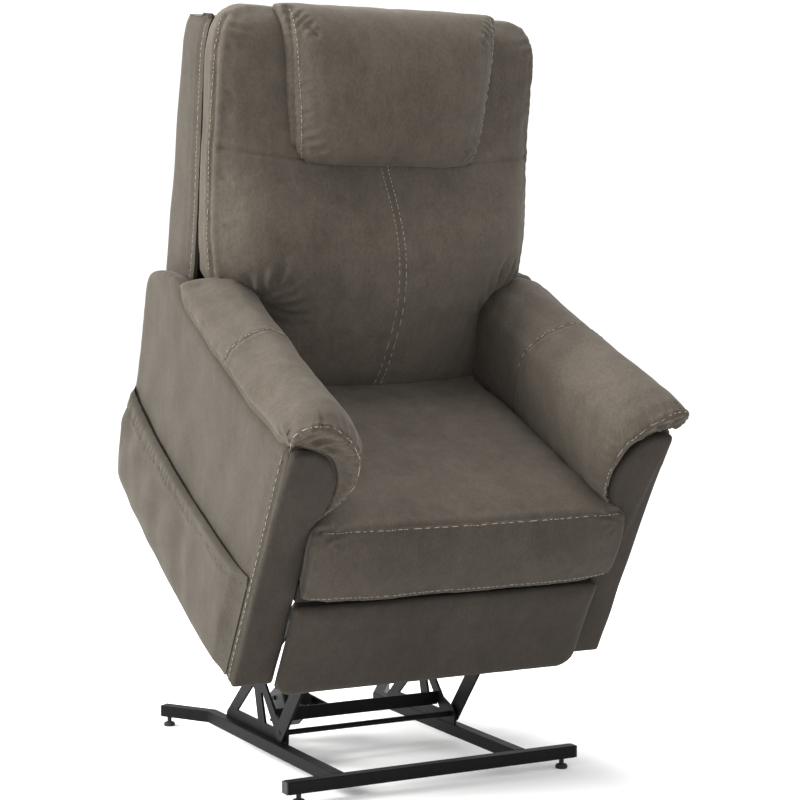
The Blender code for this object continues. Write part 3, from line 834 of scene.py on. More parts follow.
# (x, inset, rearmost y) of each outline of the panel, from the outside in.
PANEL_LAYERS = (
    (0.4232, 0.10, 1), (0.4234, 0.035, 1), (0.4226, 0.012, 1), (0.4205, 0.0045, 1), (0.4165, 0.0008, 1),
    (0.411, 0.0, 1), (0.395, 0.0, 1), (0.386, 0.002, 1), (0.3835, 0.008, 1),
    (0.380, 0.012, 0.600), (0.352, 0.012, 0.600), (0.343, 0.015, 0.600), (0.3405, 0.03, 0.600),
)


def arm_panel_shell(sign):
    """Outer side panel with the arm's inner box behind it, as one closed form."""
    outlines = inset_outlines(PANEL_EDGE, 150, [inset for _, inset, _ in PANEL_LAYERS])
    rings = []
    for (x, _, rearmost), outline in zip(PANEL_LAYERS, outlines):
        rings.append(np.array([(x, min(y, rearmost), z) for y, z in outline]) * (sign, 1, 1))
    return loft(rings)


def arm_panel_shape(sign):
    def shape(co, no, skin):
        y, z = co[:, 1], co[:, 2]
        outer = step(np.abs(co[:, 0]), 0.414, 0.421)
        fade = step(z, 0.0, 0.05) * (1 - step(z, 0.49, 0.535))
        fade = fade * step(y, 0.0, 0.05) * (1 - step(y, 0.60, 0.70))
        # Long shallow pulls that run down the panel.
        pull = np.sin(2 * pi * (y + 0.25 * z) / 0.115 + 1.3 * np.sin(5 * z)) * 0.0007
        co += no * (outer * fade * (0.0035 + pull + 0.0011 * wave(co, 0.22, 11)))[:, None]
        groove(co, no, arm_seam(sign), 0.0050, 0.0075, 0.0012)
        edge, _ = skin.drop([(sign * 0.4205, 0.0065, z) for z in np.linspace(0.004, 0.536, 80)])
        groove(co, no, edge, 0.0016, 0.0032, 0.0012, 0.0004, 0.02, 8)

    return shape


# (y, inset) of each outline of the facing, from its rear to its crowned front.
FACING_LAYERS = (
    (0.020, 0.006), (0.010, 0.0), (0.000, 0.0), (-0.0035, 0.0015),
    (-0.0065, 0.005), (-0.0080, 0.013), (-0.0088, 0.024),
)


def arm_facing_shell(sign):
    """The plain front facing, from the arm's lower edge up to its curved seam."""
    top = [(x, z) for x, _, z in smooth(FACING_SEAM, 40)]
    outline = [(0.4188, -0.007), (0.4188, 0.27), *top, (0.3325, 0.22), (0.3325, -0.007)]
    outlines = inset_outlines(outline, 120, [inset for _, inset in FACING_LAYERS])
    rings = []
    for (y, _), line in zip(FACING_LAYERS, outlines):
        rings.append(np.array([(x, y - 0.010 * step(z, 0.40, 0.54), z) for x, z in line]) * (sign, 1, 1))
    return loft(rings)


def facing_shape(co, no, skin):
    ripple(co, no, (0.13, 0.0009, 21))


for side, sign in (("left", 1), ("right", -1)):
    mirror = np.array((sign, 1, 1))
    panel = soft(f"arm_panel_{side}", arm_panel_shell(sign), 0.008, 0, arm_panel_shape(sign), 1)
    facing = soft(f"arm_facing_{side}", arm_facing_shell(sign), 0.0055, 0, facing_shape, 1)
    pad = soft(f"arm_pad_cover_{side}", arm_pad_shell(sign), 0.0055, 0.006, arm_pad_shape(sign), 3)
    on_pad, on_panel = Skin(pad), Skin(panel)
    rim = beside(*on_pad.drop(smooth(RIM, 120) * mirror), -0.0045 * sign)
    rim, rim_no = on_pad.drop(rim)
    joint = beside(*on_pad.drop(smooth(cross_seam()[:8], 110) * mirror), -0.005 * sign)
    joint, joint_no = on_pad.drop(joint)
    corner = [(sign * 0.424, 0.0125, z) for z in np.linspace(0.006, 0.534, 90)]
    corner, corner_no = on_panel.drop(corner, (-sign, 0, 0))
    finish_soft(panel, CHAIR, "carriage", [f"arm_frame_{side}"], SUEDE_SIDE_SHADED)
    finish_soft(facing, CHAIR, "carriage", [], SUEDE_DEEP_SHADED)
    finish_soft(pad, CHAIR, "carriage", [f"arm_pad_{side}"], SUEDE)
    runs = [(rim, rim_no), (joint, joint_no), (corner, corner_no)]
    stitches(f"arm_stitching_{side}", runs, CHAIR, "carriage")


# ---------------------------------------------------------------- seat

# The cushion's front sits a little to the sitter's left.
SEAT_SHIFT = 0.009
# The cushion's section (y, z), from its rear along the underside to the front and back over the top.
SEAT_PROFILE = [
    (0.500, 0.250), (0.40, 0.244), (0.20, 0.240), (0.05, 0.236), (-0.010, 0.222), (-0.030, 0.2015),
    (-0.0435, 0.2010), (-0.0515, 0.222), (-0.0555, 0.262), (-0.052, 0.310), (-0.044, 0.345), (-0.026, 0.3655),
    (0.03, 0.377), (0.14, 0.381), (0.28, 0.381), (0.40, 0.377), (0.48, 0.370), (0.535, 0.360),
    (0.554, 0.320), (0.545, 0.265),
]
# Half its width at each y: wings in front of the arms, then a taper to the rear.
SEAT_HALF = [
    (-0.06, 0.350), (-0.028, 0.351), (-0.012, 0.341), (0.02, 0.340), (0.10, 0.336),
    (0.48, 0.281), (0.52, 0.279),
]
# Where sections are taken, from one side (-1) to the other (1).
HALF_SLICES = (0.2, 0.4, 0.6, 0.75, 0.86, 0.93, 0.975, 0.995, 1)


def seat_shell():
    profile = smooth(SEAT_PROFILE, 84, True)
    middle = np.array((0.22, 0.300))
    rings = []
    for u in (*(-u for u in HALF_SLICES[::-1]), 0, *HALF_SLICES):
        pull = 1 - 0.055 * abs(u) ** 9 - 0.014 * abs(u) ** 2.5
        p = middle + (profile - middle) * (1 - (1 - pull) * np.array((0.35, 1.6)))
        shift = SEAT_SHIFT * (1 - step(p[:, 0], 0.02, 0.14))
        rings.append(np.stack([u * table_at(SEAT_HALF, p[:, 0]) + shift, p[:, 0], p[:, 1]], 1))
    return loft(rings)


def upper_seam(y, z, half, count):
    """Points above the cushion's upper front seam, which bows back a little at both ends."""
    return [(x + SEAT_SHIFT, y + 0.004 * (x / 0.33) ** 4, z) for x in np.linspace(-half, half, count)]


def lower_seam(z, half, count):
    """Points before the seam along the lip, which rises a little at both ends."""
    return [(x + SEAT_SHIFT, -0.2, z + 0.004 * (x / 0.33) ** 6) for x in np.linspace(-half, half, count)]


# How far each pucker runs from a front corner (x, y, z), and the pulls on top (from x, y to x, y).
SEAT_PUCKERS = (
    (0.060, 0.0, 0.018), (0.072, 0.02, 0.004), (0.055, 0.0, -0.020), (0.05, 0.045, 0.0), (0.04, 0.0, -0.045),
)
SEAT_PULLS = (
    (0.24, 0.44, 0.12, 0.33), (0.25, 0.40, 0.15, 0.28), (0.26, 0.34, 0.19, 0.24), (0.20, 0.47, 0.08, 0.42),
)


def seat_shape(co, no, skin):
    top, _ = skin.drop(upper_seam(-0.036, 0.42, 0.332, 120), (0, 0.28, -1))
    low, _ = skin.drop(lower_seam(0.2165, 0.332, 120), (0, 1, 0))
    ripple(co, no, (0.24, 0.0016, 31), (0.06, 0.0005, 32))
    groove(co, no, top, 0.0034, 0.0040, 0.0018, 0.0004, 0.03, 9)
    groove(co, no, low, 0.0020, 0.0034, 0.0008, 0.0004, 0.028, 10)
    # Puckers where the front seam meets each arm, and the faint pulls near the rear corners.
    for sx in (-1, 1):
        for k, (dx, dy, dz) in enumerate(SEAT_PUCKERS):
            a = (sx * 0.332 + SEAT_SHIFT, -0.034, 0.358)
            b = (sx * (0.332 - dx) + SEAT_SHIFT, -0.036 + dy, 0.360 + dz)
            line, _ = skin.drop(np.linspace(a, b, 14))
            crease(co, no, line, 0.0030 - 0.0003 * k, 0.0050)
        for x0, y0, x1, y1 in SEAT_PULLS:
            line, _ = skin.drop(np.linspace((sx * x0, y0, 0.40), (sx * x1, y1, 0.40), 14), (0, 0, -1))
            crease(co, no, line, 0.0013 if sx > 0 else 0.0008, 0.0085)


seat = soft("seat_cover", seat_shell(), 0.0075, 0.008, seat_shape, 3)
on_seat = Skin(seat)
seat_runs = [
    on_seat.drop(upper_seam(-0.0435, 0.41, 0.330, 160), (0, 0.35, -1)),
    on_seat.drop(lower_seam(0.2225, 0.330, 160), (0, 1, 0)),
]
seat_at = coords(seat)
seat_seam, _ = on_seat.drop(upper_seam(-0.0405, 0.42, 0.34, 120), (0, 0.28, -1))
seat_seam = seat_seam[np.argsort(seat_seam[:, 0])]
finish_soft(seat, CHAIR, "carriage", ["seat_cushion"], SUEDE)
# The cloth below the front seam takes a darker copy of the same suede: painted shade on the cushion's front
# face.
seat.data.materials.append(SUEDE_BOXING_SHADED)
for face in seat.data.polygons:
    x, y, z = seat_at[list(face.vertices)].mean(0)
    face.material_index = int(y < -0.015 and z < np.interp(x, seat_seam[:, 0], seat_seam[:, 2]))
stitches("seat_stitching", seat_runs, CHAIR, "carriage")


# ---------------------------------------------------------------- footrest


# (y, inset) of each outline of the footrest's cover, from its rear to its crowned front.
FOOTREST_LAYERS = (
    (-0.0135, 0.012), (-0.0140, 0.003), (-0.0185, 0.0), (-0.0245, 0.0005),
    (-0.0300, 0.004), (-0.0330, 0.010), (-0.0345, 0.022), (-0.0355, 0.045),
)


def footrest_shell():
    half, low, high, radius = 0.3445, -0.0225, 0.1975, 0.042
    left, right, up = -half + radius, half - radius, low + radius
    turn = np.linspace(0.15, 1.42, 8)
    outline = [(-half, high), (-half, up)]
    outline += [(left - radius * cos(a), up - radius * sin(a)) for a in turn]
    outline += [(left, low), (right, low)]
    outline += [(right + radius * sin(a), up - radius * cos(a)) for a in turn]
    outline += [(half, up), (half, high)]
    outlines = inset_outlines(outline, 180, [inset for _, inset in FOOTREST_LAYERS])
    return loft([[(x, y, z) for x, z in line] for (y, _), line in zip(FOOTREST_LAYERS, outlines)])


def footrest_shape(co, no, skin):
    front = step(-no[:, 1], 0.3, 0.9)
    co += no * (front * (wave(co, 0.20, 41) * 0.0014 + wave(co, 0.07, 42) * 0.0005))[:, None]


footrest = soft("footrest_cover", footrest_shell(), 0.0060, 0.004, footrest_shape, 2)
# The footrest's cover takes the darkest suede copy: painted shade.
finish_soft(footrest, CHAIR, "footrest_board", ["footrest_pad"], SUEDE_DEEP_SHADED)


# ---------------------------------------------------------------- back

# Three tables up the cushion, each from the height z: y of its middle, y of its side seam, half its width.
BACK_FRONT = [
    (-0.036, -0.096), (0.000, -0.127), (0.030, -0.149), (0.067, -0.169), (0.148, -0.197),
    (0.223, -0.216), (0.295, -0.216), (0.354, -0.200), (0.420, -0.167), (0.478, -0.135),
    (0.560, -0.112), (0.680, -0.098), (0.760, -0.086), (0.793, -0.061),
]
BACK_SIDE = [
    (-0.036, -0.095), (0.000, -0.110), (0.10, -0.120), (0.20, -0.125), (0.254, -0.109), (0.38, -0.095),
    (0.501, -0.081), (0.638, -0.076), (0.72, -0.074), (0.749, -0.070), (0.793, -0.052),
]
BACK_WIDTH = [
    (-0.036, 0.262), (0.06, 0.277), (0.175, 0.275), (0.203, 0.304), (0.226, 0.348), (0.248, 0.3680),
    (0.33, 0.377), (0.70, 0.376), (0.745, 0.368), (0.775, 0.351), (0.790, 0.322),
]


def shell_edge(z):
    """Where the shell's front edge lies behind the cushion, at height z."""
    return float(np.interp(z, [0.215, 0.260, 0.382, 0.670, 0.76], [-0.030, -0.033, -0.029, -0.012, -0.014]))


def back_cushion_shell():
    rings = []
    levels = [-0.034, -0.028, -0.014, 0.0, 0.012, 0.03, 0.06, 0.10, 0.14, 0.17, 0.19, 0.205]
    levels += [0.22, 0.235, 0.25, 0.265, 0.285, 0.31, 0.34, *np.linspace(0.37, 0.72, 12)]
    levels += [0.74, 0.757, 0.770, 0.780, 0.788]
    dense_front = smooth([(y, z) for z, y in BACK_FRONT], 200)
    order = np.argsort(dense_front[:, 1])
    for z in levels:
        half = table_at(BACK_WIDTH, z)
        front = float(np.interp(z, dense_front[order, 1], dense_front[order, 0]))
        side = table_at(BACK_SIDE, z)
        rear = shell_edge(z) + 0.003 if z > 0.215 else -0.045
        top = step(z, 0.755, 0.792)
        side = side * (1 - top) + (-0.062) * top
        front = front * (1 - top * 0.35) + (-0.062) * top * 0.35
        ring = []
        for u in np.linspace(-1, 1, 41):
            curve = 1 - abs(u) ** (2.6 + 3.6 * step(z, 0.22, 0.40))
            ring.append((u * half, side + (front - side) * curve, z))
        for t in (0.2, 0.4, 0.6, 0.85):
            ring.append((half + 0.003 * sin(pi * t), side + (rear - side) * t, z))
        for u in np.linspace(0.97, -0.97, 15):
            ring.append((u * half, rear, z))
        for t in (0.85, 0.6, 0.4, 0.2):
            ring.append((-half - 0.003 * sin(pi * t), side + (rear - side) * t, z))
        rings.append(ring)
    middle = np.mean(rings[-1], 0)
    last = np.array(rings[-1])
    rings.append(middle + (last - middle) * (0.96, 0.8, 1) + (0, 0, 0.004))
    rings.append(middle + (last - middle) * (0.88, 0.4, 1) + (0, 0, 0.006))
    return loft(rings)


def side_seam(sx, low=0.245, high=0.770, count=140):
    z = np.linspace(low, high, count)
    return [(sx * table_at(BACK_WIDTH, a), table_at(BACK_SIDE, a) - 0.004, a) for a in z]


CENTRE = smooth([
    (0.006, 0.030), (0.0105, 0.130), (0.0105, 0.250), (0.004, 0.370), (-0.009, 0.470), (-0.026, 0.560),
], 80)


def centre_line(offset):
    """The back's middle seam: from under the pillow it bows to the sitter's left and comes back."""
    z = np.linspace(0.030, 0.560, 140)
    x = np.interp(z, CENTRE[:, 1], CENTRE[:, 0])
    return [(a + offset, -0.30, b) for a, b in zip(x, z)]


def shoulder_line(sx):
    """The level seam from the side to under the pillow."""
    x = np.linspace(0.352, 0.150, 60)
    return [(sx * a, -0.30, 0.506 - 0.012 * (1 - (a - 0.15) / 0.2)) for a in x]


# Folds that fan out from each lower corner (x, y, z), where the wing passes over the arm:
# (degrees up from level, start, length, depth, width).
FOLDS = {
    1: ((0.262, 0, 0.187), [
        (140, 0.030, 0.090, 0.0064, 0.0080), (121, 0.020, 0.135, 0.0112, 0.0096),
        (101, 0.018, 0.120, 0.0086, 0.0092), (78, 0.018, 0.090, 0.0058, 0.0084),
        (35, 0.012, 0.050, 0.0022, 0.0065),
    ]),
    -1: ((-0.276, 0, 0.194), [
        (118, 0.020, 0.060, 0.0030, 0.0060), (98, 0.014, 0.085, 0.0044, 0.0075),
        (78, 0.016, 0.120, 0.0056, 0.0085), (60, 0.014, 0.125, 0.0052, 0.0084),
        (42, 0.012, 0.105, 0.0040, 0.0075), (20, 0.010, 0.115, 0.0038, 0.0080),
        (2, 0.010, 0.120, 0.0034, 0.0080), (-18, 0.012, 0.075, 0.0024, 0.0070),
    ]),
}
# Puckers along the side seam: (height, length).
SIDE_PUCKERS = ((0.745, 0.060), (0.728, 0.045), (0.705, 0.030), (0.62, 0.022), (0.45, 0.02), (0.36, 0.026))


def back_shape(co, no, skin):
    ripple(co, no, (0.26, 0.0022, 51), (0.07, 0.0006, 52))
    for sx in (-1, 1):
        seam, _ = skin.drop(side_seam(sx))
        groove(co, no, seam, 0.0052, 0.0050, 0.0022, 0.0004, 0.024, 12 + sx)
        line, _ = skin.drop(shoulder_line(sx), (0, 1, 0))
        groove(co, no, line, 0.0032, 0.0042, 0.0016, 0.0003, 0.03, 14)
        corner, folds = FOLDS[sx]
        for angle, start, long, depth, wide in folds:
            a = radians(angle)
            way = np.array((-sx * cos(a), 0, sin(a)))
            t = np.linspace(start, start + long, 24)[:, None]
            bow = np.array((-sx * sin(a), 0, -cos(a))) * 0.010
            line = corner + way * t + bow * np.sin(pi * (t - start) / long)
            line[:, 1] = -0.32
            line, _ = skin.drop(line, (0, 1, 0))
            crease(co, no, line, depth, wide)
        for z, long in SIDE_PUCKERS:
            line = np.linspace((sx * 0.350, -0.30, z), (sx * (0.350 - long), -0.30, z - 0.012), 12)
            line, _ = skin.drop(line, (0, 1, 0))
            crease(co, no, line, 0.0020, 0.0055)
    middle, _ = skin.drop(centre_line(0.0), (0, 1, 0))
    groove(co, no, middle, 0.0022, 0.0042, 0.0022)


back = soft("back_cover", back_cushion_shell(), 0.0072, 0.011, back_shape, 2)
on_back = Skin(back)
back_runs = [on_back.drop(centre_line(s), (0, 1, 0)) for s in (-0.0075, 0.0075)]
for sx in (-1, 1):
    line = [(x - sx * 0.0085, -0.32, z) for x, _, z in side_seam(sx, 0.262, 0.758)]
    back_runs.append(on_back.drop(line, (0, 1, 0)))
finish_soft(back, BACK, "backrest", ["back_cushion"], SUEDE)
stitches("back_stitching", back_runs, BACK, "backrest")


# ---------------------------------------------------------------- head pillow

# The pillow's section (y, z), from its underside at the rear, down round the front and over the top.
PILLOW_PROFILE = [
    (-0.085, 0.500), (-0.128, 0.484), (-0.160, 0.489), (-0.177, 0.512), (-0.184, 0.556), (-0.184, 0.620),
    (-0.175, 0.690), (-0.157, 0.743), (-0.131, 0.779), (-0.102, 0.798), (-0.070, 0.802), (-0.048, 0.792),
    (-0.060, 0.760), (-0.080, 0.640), (-0.086, 0.540),
]
PILLOW_SHIFT = -0.003
# Creases that run in from each end of the pillow: (height, length, rise).
PILLOW_CREASES = (
    (0.502, 0.055, 0.030), (0.512, 0.060, 0.024), (0.528, 0.050, 0.020), (0.55, 0.04, 0.016),
    (0.585, 0.032, 0.012), (0.64, 0.028, 0.008), (0.76, 0.030, -0.01),
)


def pillow_half(z):
    return np.interp(z, [0.46, 0.52, 0.66, 0.80, 0.82], [0.211, 0.219, 0.234, 0.248, 0.244])


def pillow_shell():
    profile = smooth(PILLOW_PROFILE, 72, True)
    rings = []
    middle = np.array((-0.100, 0.640))
    slices = (0.3, 0.55, 0.74, 0.85, 0.92, 0.965, 0.99, 1)
    for u in (*(-u for u in slices[::-1]), 0, *slices):
        thin = 1 - 0.78 * abs(u) ** 8.0
        short = 1 - 0.030 * abs(u) ** 8
        p = middle + (profile - middle) * (1, short)
        p[:, 0] = np.where(p[:, 0] < -0.092, -0.092 + (p[:, 0] + 0.092) * thin, p[:, 0])
        sag = -0.006 * (1 - u * u) * (1 - step(p[:, 1], 0.47, 0.56))
        rings.append(np.stack([u * pillow_half(p[:, 1]) + PILLOW_SHIFT, p[:, 0], p[:, 1] + sag], 1))
    return loft(rings)


def pillow_edge(sx, inset):
    """Points before the pillow's end seam, inset from its edge and more so at its lower end."""
    z = np.linspace(0.488, 0.800, 110)
    half = pillow_half(z) - 0.004 - inset - 0.014 * (1 - step(z, 0.475, 0.515))
    return [(PILLOW_SHIFT + sx * x, -0.30, a) for x, a in zip(half, z)]


def pillow_shape(co, no, skin):
    front = step(-no[:, 1], -0.1, 0.6)
    ripple(co, no, (0.17, 0.0018, 61), (0.05, 0.0006, 62))
    stretch = np.sin(2 * pi * co[:, 0] / 0.085 + 1.5 * np.sin(9 * co[:, 2])) * bell(co[:, 2], 0.52, 0.12)
    co += no * (front * 0.0009 * stretch)[:, None]
    for sx in (-1, 1):
        seam, _ = skin.drop(pillow_edge(sx, 0.008), (0, 1, 0))
        groove(co, no, seam, 0.0040, 0.0042, 0.0018, 0.0012, 0.019, 15 + sx)
        for z, long, rise in PILLOW_CREASES:
            x = pillow_half(z) - 0.012
            line = np.linspace((sx * x, -0.30, z), (sx * (x - long), -0.30, z + rise), 12)
            line, _ = skin.drop(line, (0, 1, 0))
            crease(co, no, line, 0.0022, 0.0048)


pillow = soft("head_pillow_cover", pillow_shell(), 0.0062, 0.006, pillow_shape, 3)
on_pillow = Skin(pillow)
pillow_runs = [on_pillow.drop(pillow_edge(sx, 0.0145), (0, 1, 0)) for sx in (-1, 1)]
finish_soft(pillow, BACK, "backrest", ["head_pillow"], SUEDE)
stitches("pillow_stitching", pillow_runs, BACK, "backrest")


# ---------------------------------------------------------------- back shell


def shell_section(z, depth, raise_by=0.0):
    """The shell's U at height z: from one front edge round both rear corners to the other."""
    front = shell_edge(z)
    rear = np.interp(z, [0.215, 0.230, 0.4745, 0.716, 0.76], [0.119, 0.122, 0.109, 0.111, 0.109])
    rear = front + (rear - front) * depth
    radius = min(0.016, 0.45 * (rear - front))
    half = np.interp(z, [0.215, 0.70, 0.735, 0.76], [0.3650, 0.3655, 0.361, 0.353])
    side = [(half, front), (half + 0.007, front + (rear - front) * 0.35), (half + 0.007, rear - radius)]
    turn = np.linspace(0.25, pi / 2 - 0.15, 6)
    corner = [(half - radius + radius * cos(a), rear - radius + radius * sin(a)) for a in turn]
    back_line = [(half - radius, rear), (half * 0.5, rear + 0.003 * depth), (0, rear + 0.004 * depth)]
    right = resample(np.array(side + corner + back_line), 40)
    left = right[::-1][1:] * (-1, 1)
    both = np.vstack([right, left])
    return [(x, y, z + raise_by) for x, y in both]


def outer_shell():
    rows = [shell_section(z, 1) for z in np.linspace(0.217, 0.725, 60)]
    for a in np.linspace(0.15, 1.0, 8):
        rows.append(shell_section(0.725 + 0.027 * a, 1 - 0.02 * a**2))
    for d in np.linspace(0.95, 0.04, 16):
        rows.append(shell_section(0.752, d, 0.002 * (1 - d)))
    return grid(rows)


shell = new_mesh("back_shell_cover", *outer_shell())
outward(shell)
modify(shell, "SOLIDIFY", thickness=0.009, offset=-1)
modify(shell, "BEVEL", width=0.003, segments=2, limit_method="ANGLE", angle_limit=radians(50))
bake(shell)
modify(shell, "SUBSURF", levels=1, render_levels=1)
bake(shell)


def shell_front(sx, inset):
    return [(sx * 0.45, shell_edge(a) + inset, a) for a in np.linspace(0.228, 0.748, 150)]


def shell_shape(co, no, skin):
    ripple(co, no, (0.28, 0.0016, 71))
    for sx in (-1, 1):
        line, _ = skin.drop(shell_front(sx, 0.018), (-sx, 0, 0))
        groove(co, no, line, 0.0020, 0.0034, 0.0010, 0.0004, 0.03, 17)


sew(shell, shell_shape)
on_shell = Skin(shell)
shell_runs = [on_shell.drop(shell_front(sx, 0.012), (-sx, 0, 0)) for sx in (-1, 1)]
shell_runs.append(on_shell.drop([(x, 0.30, 0.232) for x in np.linspace(-0.33, 0.33, 150)], (0, -1, 0)))
finish_soft(shell, BACK, "backrest", ["back_shell"], SUEDE_SIDE_SHADED)
stitches("shell_stitching", shell_runs, BACK, "backrest")


def lining_shell():
    """The dark cloth that closes the back below the shell, narrower where it passes between the arms."""
    rows = []
    for z in np.linspace(0.262, -0.030, 40):
        half = np.interp(z, [-0.03, 0.150, 0.178, 0.262], [0.292, 0.296, 0.352, 0.354])
        rows.append([(x, 0.0035 + 0.0016 * sin(19 * x + 9 * z), z) for x in np.linspace(-half, half, 90)])
    return grid(rows)


lining = new_mesh("back_lower_lining", *lining_shell())
outward(lining)
thicken(lining, 0.0014, 0)
finish_soft(lining, BACK, "backrest", [], LINING)


# ---------------------------------------------------------------- side pocket

POCKET_FRONT, POCKET_REAR = 0.020, 0.699
# The mouth sags between its two corners: (share of the length from the front, height).
POCKET_MOUTH = smooth([
    (0, 0.2415), (0.16, 0.231), (0.33, 0.2255), (0.46, 0.2225),
    (0.60, 0.223), (0.75, 0.2275), (0.91, 0.2405), (1, 0.253),
], 80)
# Along the same share: the height of the pocket's lower edge, and how far it stands off the panel.
POCKET_BOTTOM = [
    (0, 0.007), (0.25, 0.004), (0.5, 0.007), (0.72, 0.015), (0.88, 0.029), (0.95, 0.042), (1, 0.060),
]
POCKET_FULL = [
    (0, 0), (0.07, 0.014), (0.15, 0.0165), (0.30, 0.0155),
    (0.50, 0.018), (0.78, 0.027), (0.93, 0.026), (1, 0),
]


def pocket_mouth(u):
    return np.interp(u, POCKET_MOUTH[:, 0], POCKET_MOUTH[:, 1])


def pocket_point(u, v):
    """u runs from front to rear, v from the hem down to the bottom edge."""
    mouth = pocket_mouth(u)
    y = POCKET_FRONT + (POCKET_REAR - POCKET_FRONT) * u
    bottom = table_at(POCKET_BOTTOM, u)
    z = mouth + (bottom - mouth) * v
    y = y - 0.009 * step(u, 0.9, 1.0)
    z = z - 0.006 * step(u, 0.955, 1.0) * (1 - v) ** 3
    edge = np.minimum(1, np.minimum(u / 0.06, (1 - u) / 0.045)) ** 0.6
    full = table_at(POCKET_FULL, u)
    square = 4.2 - 2.0 * step(u, 0.25, 0.75)
    drop = (1 - np.abs(2 * np.clip(v, 0, 1) ** 0.8 - 1) ** square) ** (1 / square)
    lip = 0.0042 * edge * (1 - step(v, 0.0, 0.25))
    return y, z, 0.4258 + full * drop * edge + lip - 0.007 * step(u, 0.96, 1.0)


def pocket_shell():
    rows = []
    for v in np.linspace(0, 1, 74):
        row = []
        for u in np.linspace(0, 1, 170):
            y, z, x = pocket_point(u, v)
            row.append((-x, y, z))
        rows.append(row)
    return grid(rows)


pocket = new_mesh("side_pocket_cloth", *pocket_shell())


def pocket_shape(co, no, skin):
    out = np.array((-1.0, 0, 0))
    y, z = co[:, 1], co[:, 2]
    u = (y - POCKET_FRONT) / (POCKET_REAR - POCKET_FRONT)
    mouth = pocket_mouth(u)
    v = np.clip((mouth - 0.003 - z) / 0.225, 0, 1)
    body = step(v, 0.02, 0.16) * (1 - step(v, 0.72, 1.0))
    body = body * step(u, 0.01, 0.10) * (1 - step(u, 0.92, 1.0))
    rear = step(u, 0.25, 0.6)
    upright = np.sin(2 * pi * (y - 0.4 * z) / 0.14 + 1.4 * np.sin(2 * pi * y / 0.31))
    slanted = np.sin(2 * pi * (y + 1.1 * z) / 0.115 + 1.6 * np.sin(2 * pi * z / 0.23))
    move = 0.0011 * upright * body
    move += 0.0024 * slanted * body * rear
    move += 0.0016 * wave(co * (1, 1, 0.6), 0.075, 81) * body
    # The elastic in the hem gathers the cloth, and its stitches press a line below it.
    gathers = np.sin(2 * pi * y / 0.019 + 2.2 * np.sin(2 * pi * y / 0.083))
    move += 0.0011 * bell(v, 0.075, 0.07) * gathers * rear * (1 - step(u, 0.93, 1))
    move += 0.0022 * bell(v, 0.0, 0.035)
    move -= 0.0016 * np.exp(-(((z - (mouth - 0.0265)) / 0.0030) ** 2))
    co += out * move[:, None]


sew(pocket, pocket_shape)
thicken(pocket, 0.0016, 1)
on_pocket = Skin(pocket)
hem = []
for u in np.linspace(0.012, 0.988, 180):
    y, z, _ = pocket_point(u, 0)
    hem.append((-0.60, y, z - 0.0235))
pocket_runs = [on_pocket.drop(hem, (1, 0, 0))]
finish_soft(pocket, CHAIR, "carriage", ["side_pocket"], SUEDE_SIDE_SHADED)
stitches("pocket_stitching", pocket_runs, CHAIR, "carriage", SUEDE_SIDE_SHADED, long=0.005)


# ---------------------------------------------------------------- rear apron


def apron_shell():
    half, low, high = 0.3785, 0.032, 0.2195
    rows = []
    for z in np.linspace(high, low, 40):
        t = (high - z) / (high - low)
        sag = sin(pi * t)
        x = np.linspace(-half, half, 150)
        rows.append([(a, 0.6722 + 0.0030 * sag + 0.0014 * sin(22 * a + 3 * t) * sag, z) for a in x])
    return grid(rows)


apron = new_mesh("rear_apron_cloth", *apron_shell())
outward(apron)
thicken(apron, 0.0032, 0)
on_apron = Skin(apron)
apron_runs = []
for z in (0.207, 0.048):
    hem = [(x, 0.80, z) for x in np.linspace(-0.370, 0.370, 170)]
    apron_runs.append(on_apron.drop(hem, (0, -1, 0)))
finish_soft(apron, CHAIR, "carriage", ["rear_apron"], SUEDE)
stitches("apron_stitching", apron_runs, CHAIR, "carriage")


# ---------------------------------------------------------------- studio


def area_light(name, place, aim, size, power, tint=(1, 1, 1)):
    data = bpy.data.lights.new(name, "AREA")
    data.shape = "RECTANGLE"
    data.size, data.size_y = size
    data.energy = power
    data.color = tint
    obj = bpy.data.objects.new(name, data)
    obj.location = place
    obj.rotation_euler = (Vector(aim) - Vector(place)).to_track_quat("-Z", "Y").to_euler()
    bpy.context.scene.collection.objects.link(obj)


FLOOR_HALF = 30
KEY_WATTS, TOP_WATTS, SKY_STRENGTH = 430, 190, 1.1


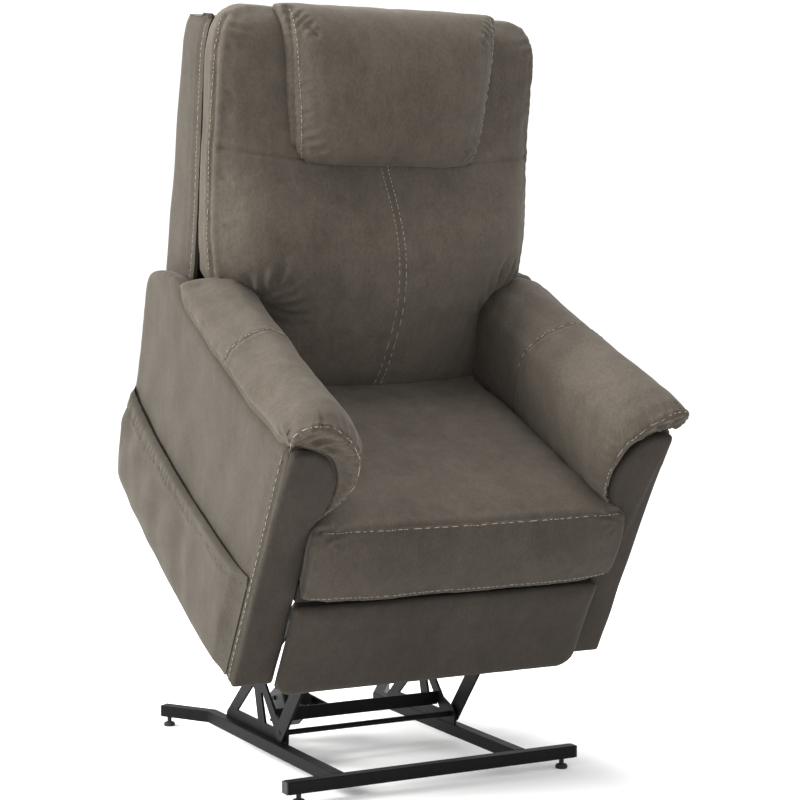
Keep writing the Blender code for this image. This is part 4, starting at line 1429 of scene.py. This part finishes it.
def studio():
    corners = [(x * FLOOR_HALF, y * FLOOR_HALF, 0) for x, y in ((-1, -1), (1, -1), (1, 1), (-1, 1))]
    floor = new_mesh("studio_floor", corners, [(0, 1, 2, 3)])
    n = Nodes("studio_white")
    n.set(Base_Color=(0.84, 0.84, 0.84, 1), Roughness=0.9, Specular_IOR_Level=0.1)
    n.set(Emission_Color=(1, 1, 1, 1), Emission_Strength=0.12)
    floor.data.materials.append(n.material)
    area_light("key", (-4.5, 1.2, 3.0), (0, 0, 0.75), (2.2, 2.2), KEY_WATTS, (1.0, 0.99, 0.97))
    area_light("top", (0.0, 0.4, 4.6), (0, 0, 0.6), (2.6, 2.6), TOP_WATTS)
    world = bpy.data.worlds.new("studio_air")
    world.use_nodes = True
    sky = world.node_tree.nodes["Background"].inputs
    sky["Color"].default_value = (1, 1, 1, 1)
    sky["Strength"].default_value = SKY_STRENGTH
    bpy.context.scene.world = world
    bpy.context.scene.view_settings.view_transform = "Standard"


CAMERA_AT = (-2.0075, -3.8183, 1.0737)
# Turned to the sitter's right side, and looking a little down.
CAMERA_YAW, CAMERA_PITCH, CAMERA_ROLL = 0.495, -0.0736, 0.0041
LENS_MM, SENSOR_MM = 94.41, 36


def camera():
    data = bpy.data.cameras.new("camera")
    data.lens, data.sensor_width = LENS_MM, SENSOR_MM
    data.clip_end = 200
    obj = bpy.data.objects.new("camera", data)
    yaw, pitch, roll = CAMERA_YAW, CAMERA_PITCH, CAMERA_ROLL
    forward = Vector((sin(yaw) * cos(pitch), cos(yaw) * cos(pitch), sin(pitch)))
    right = Vector((cos(yaw), -sin(yaw), 0))
    up = right.cross(forward)
    r = right * cos(roll) + up * sin(roll)
    u = up * cos(roll) - right * sin(roll)
    obj.matrix_world = Matrix(
        ((r.x, u.x, -forward.x, 0), (r.y, u.y, -forward.y, 0), (r.z, u.z, -forward.z, 0), (0, 0, 0, 1))
    )
    obj.location = CAMERA_AT
    bpy.context.scene.collection.objects.link(obj)
    bpy.context.scene.camera = obj


studio()
camera()
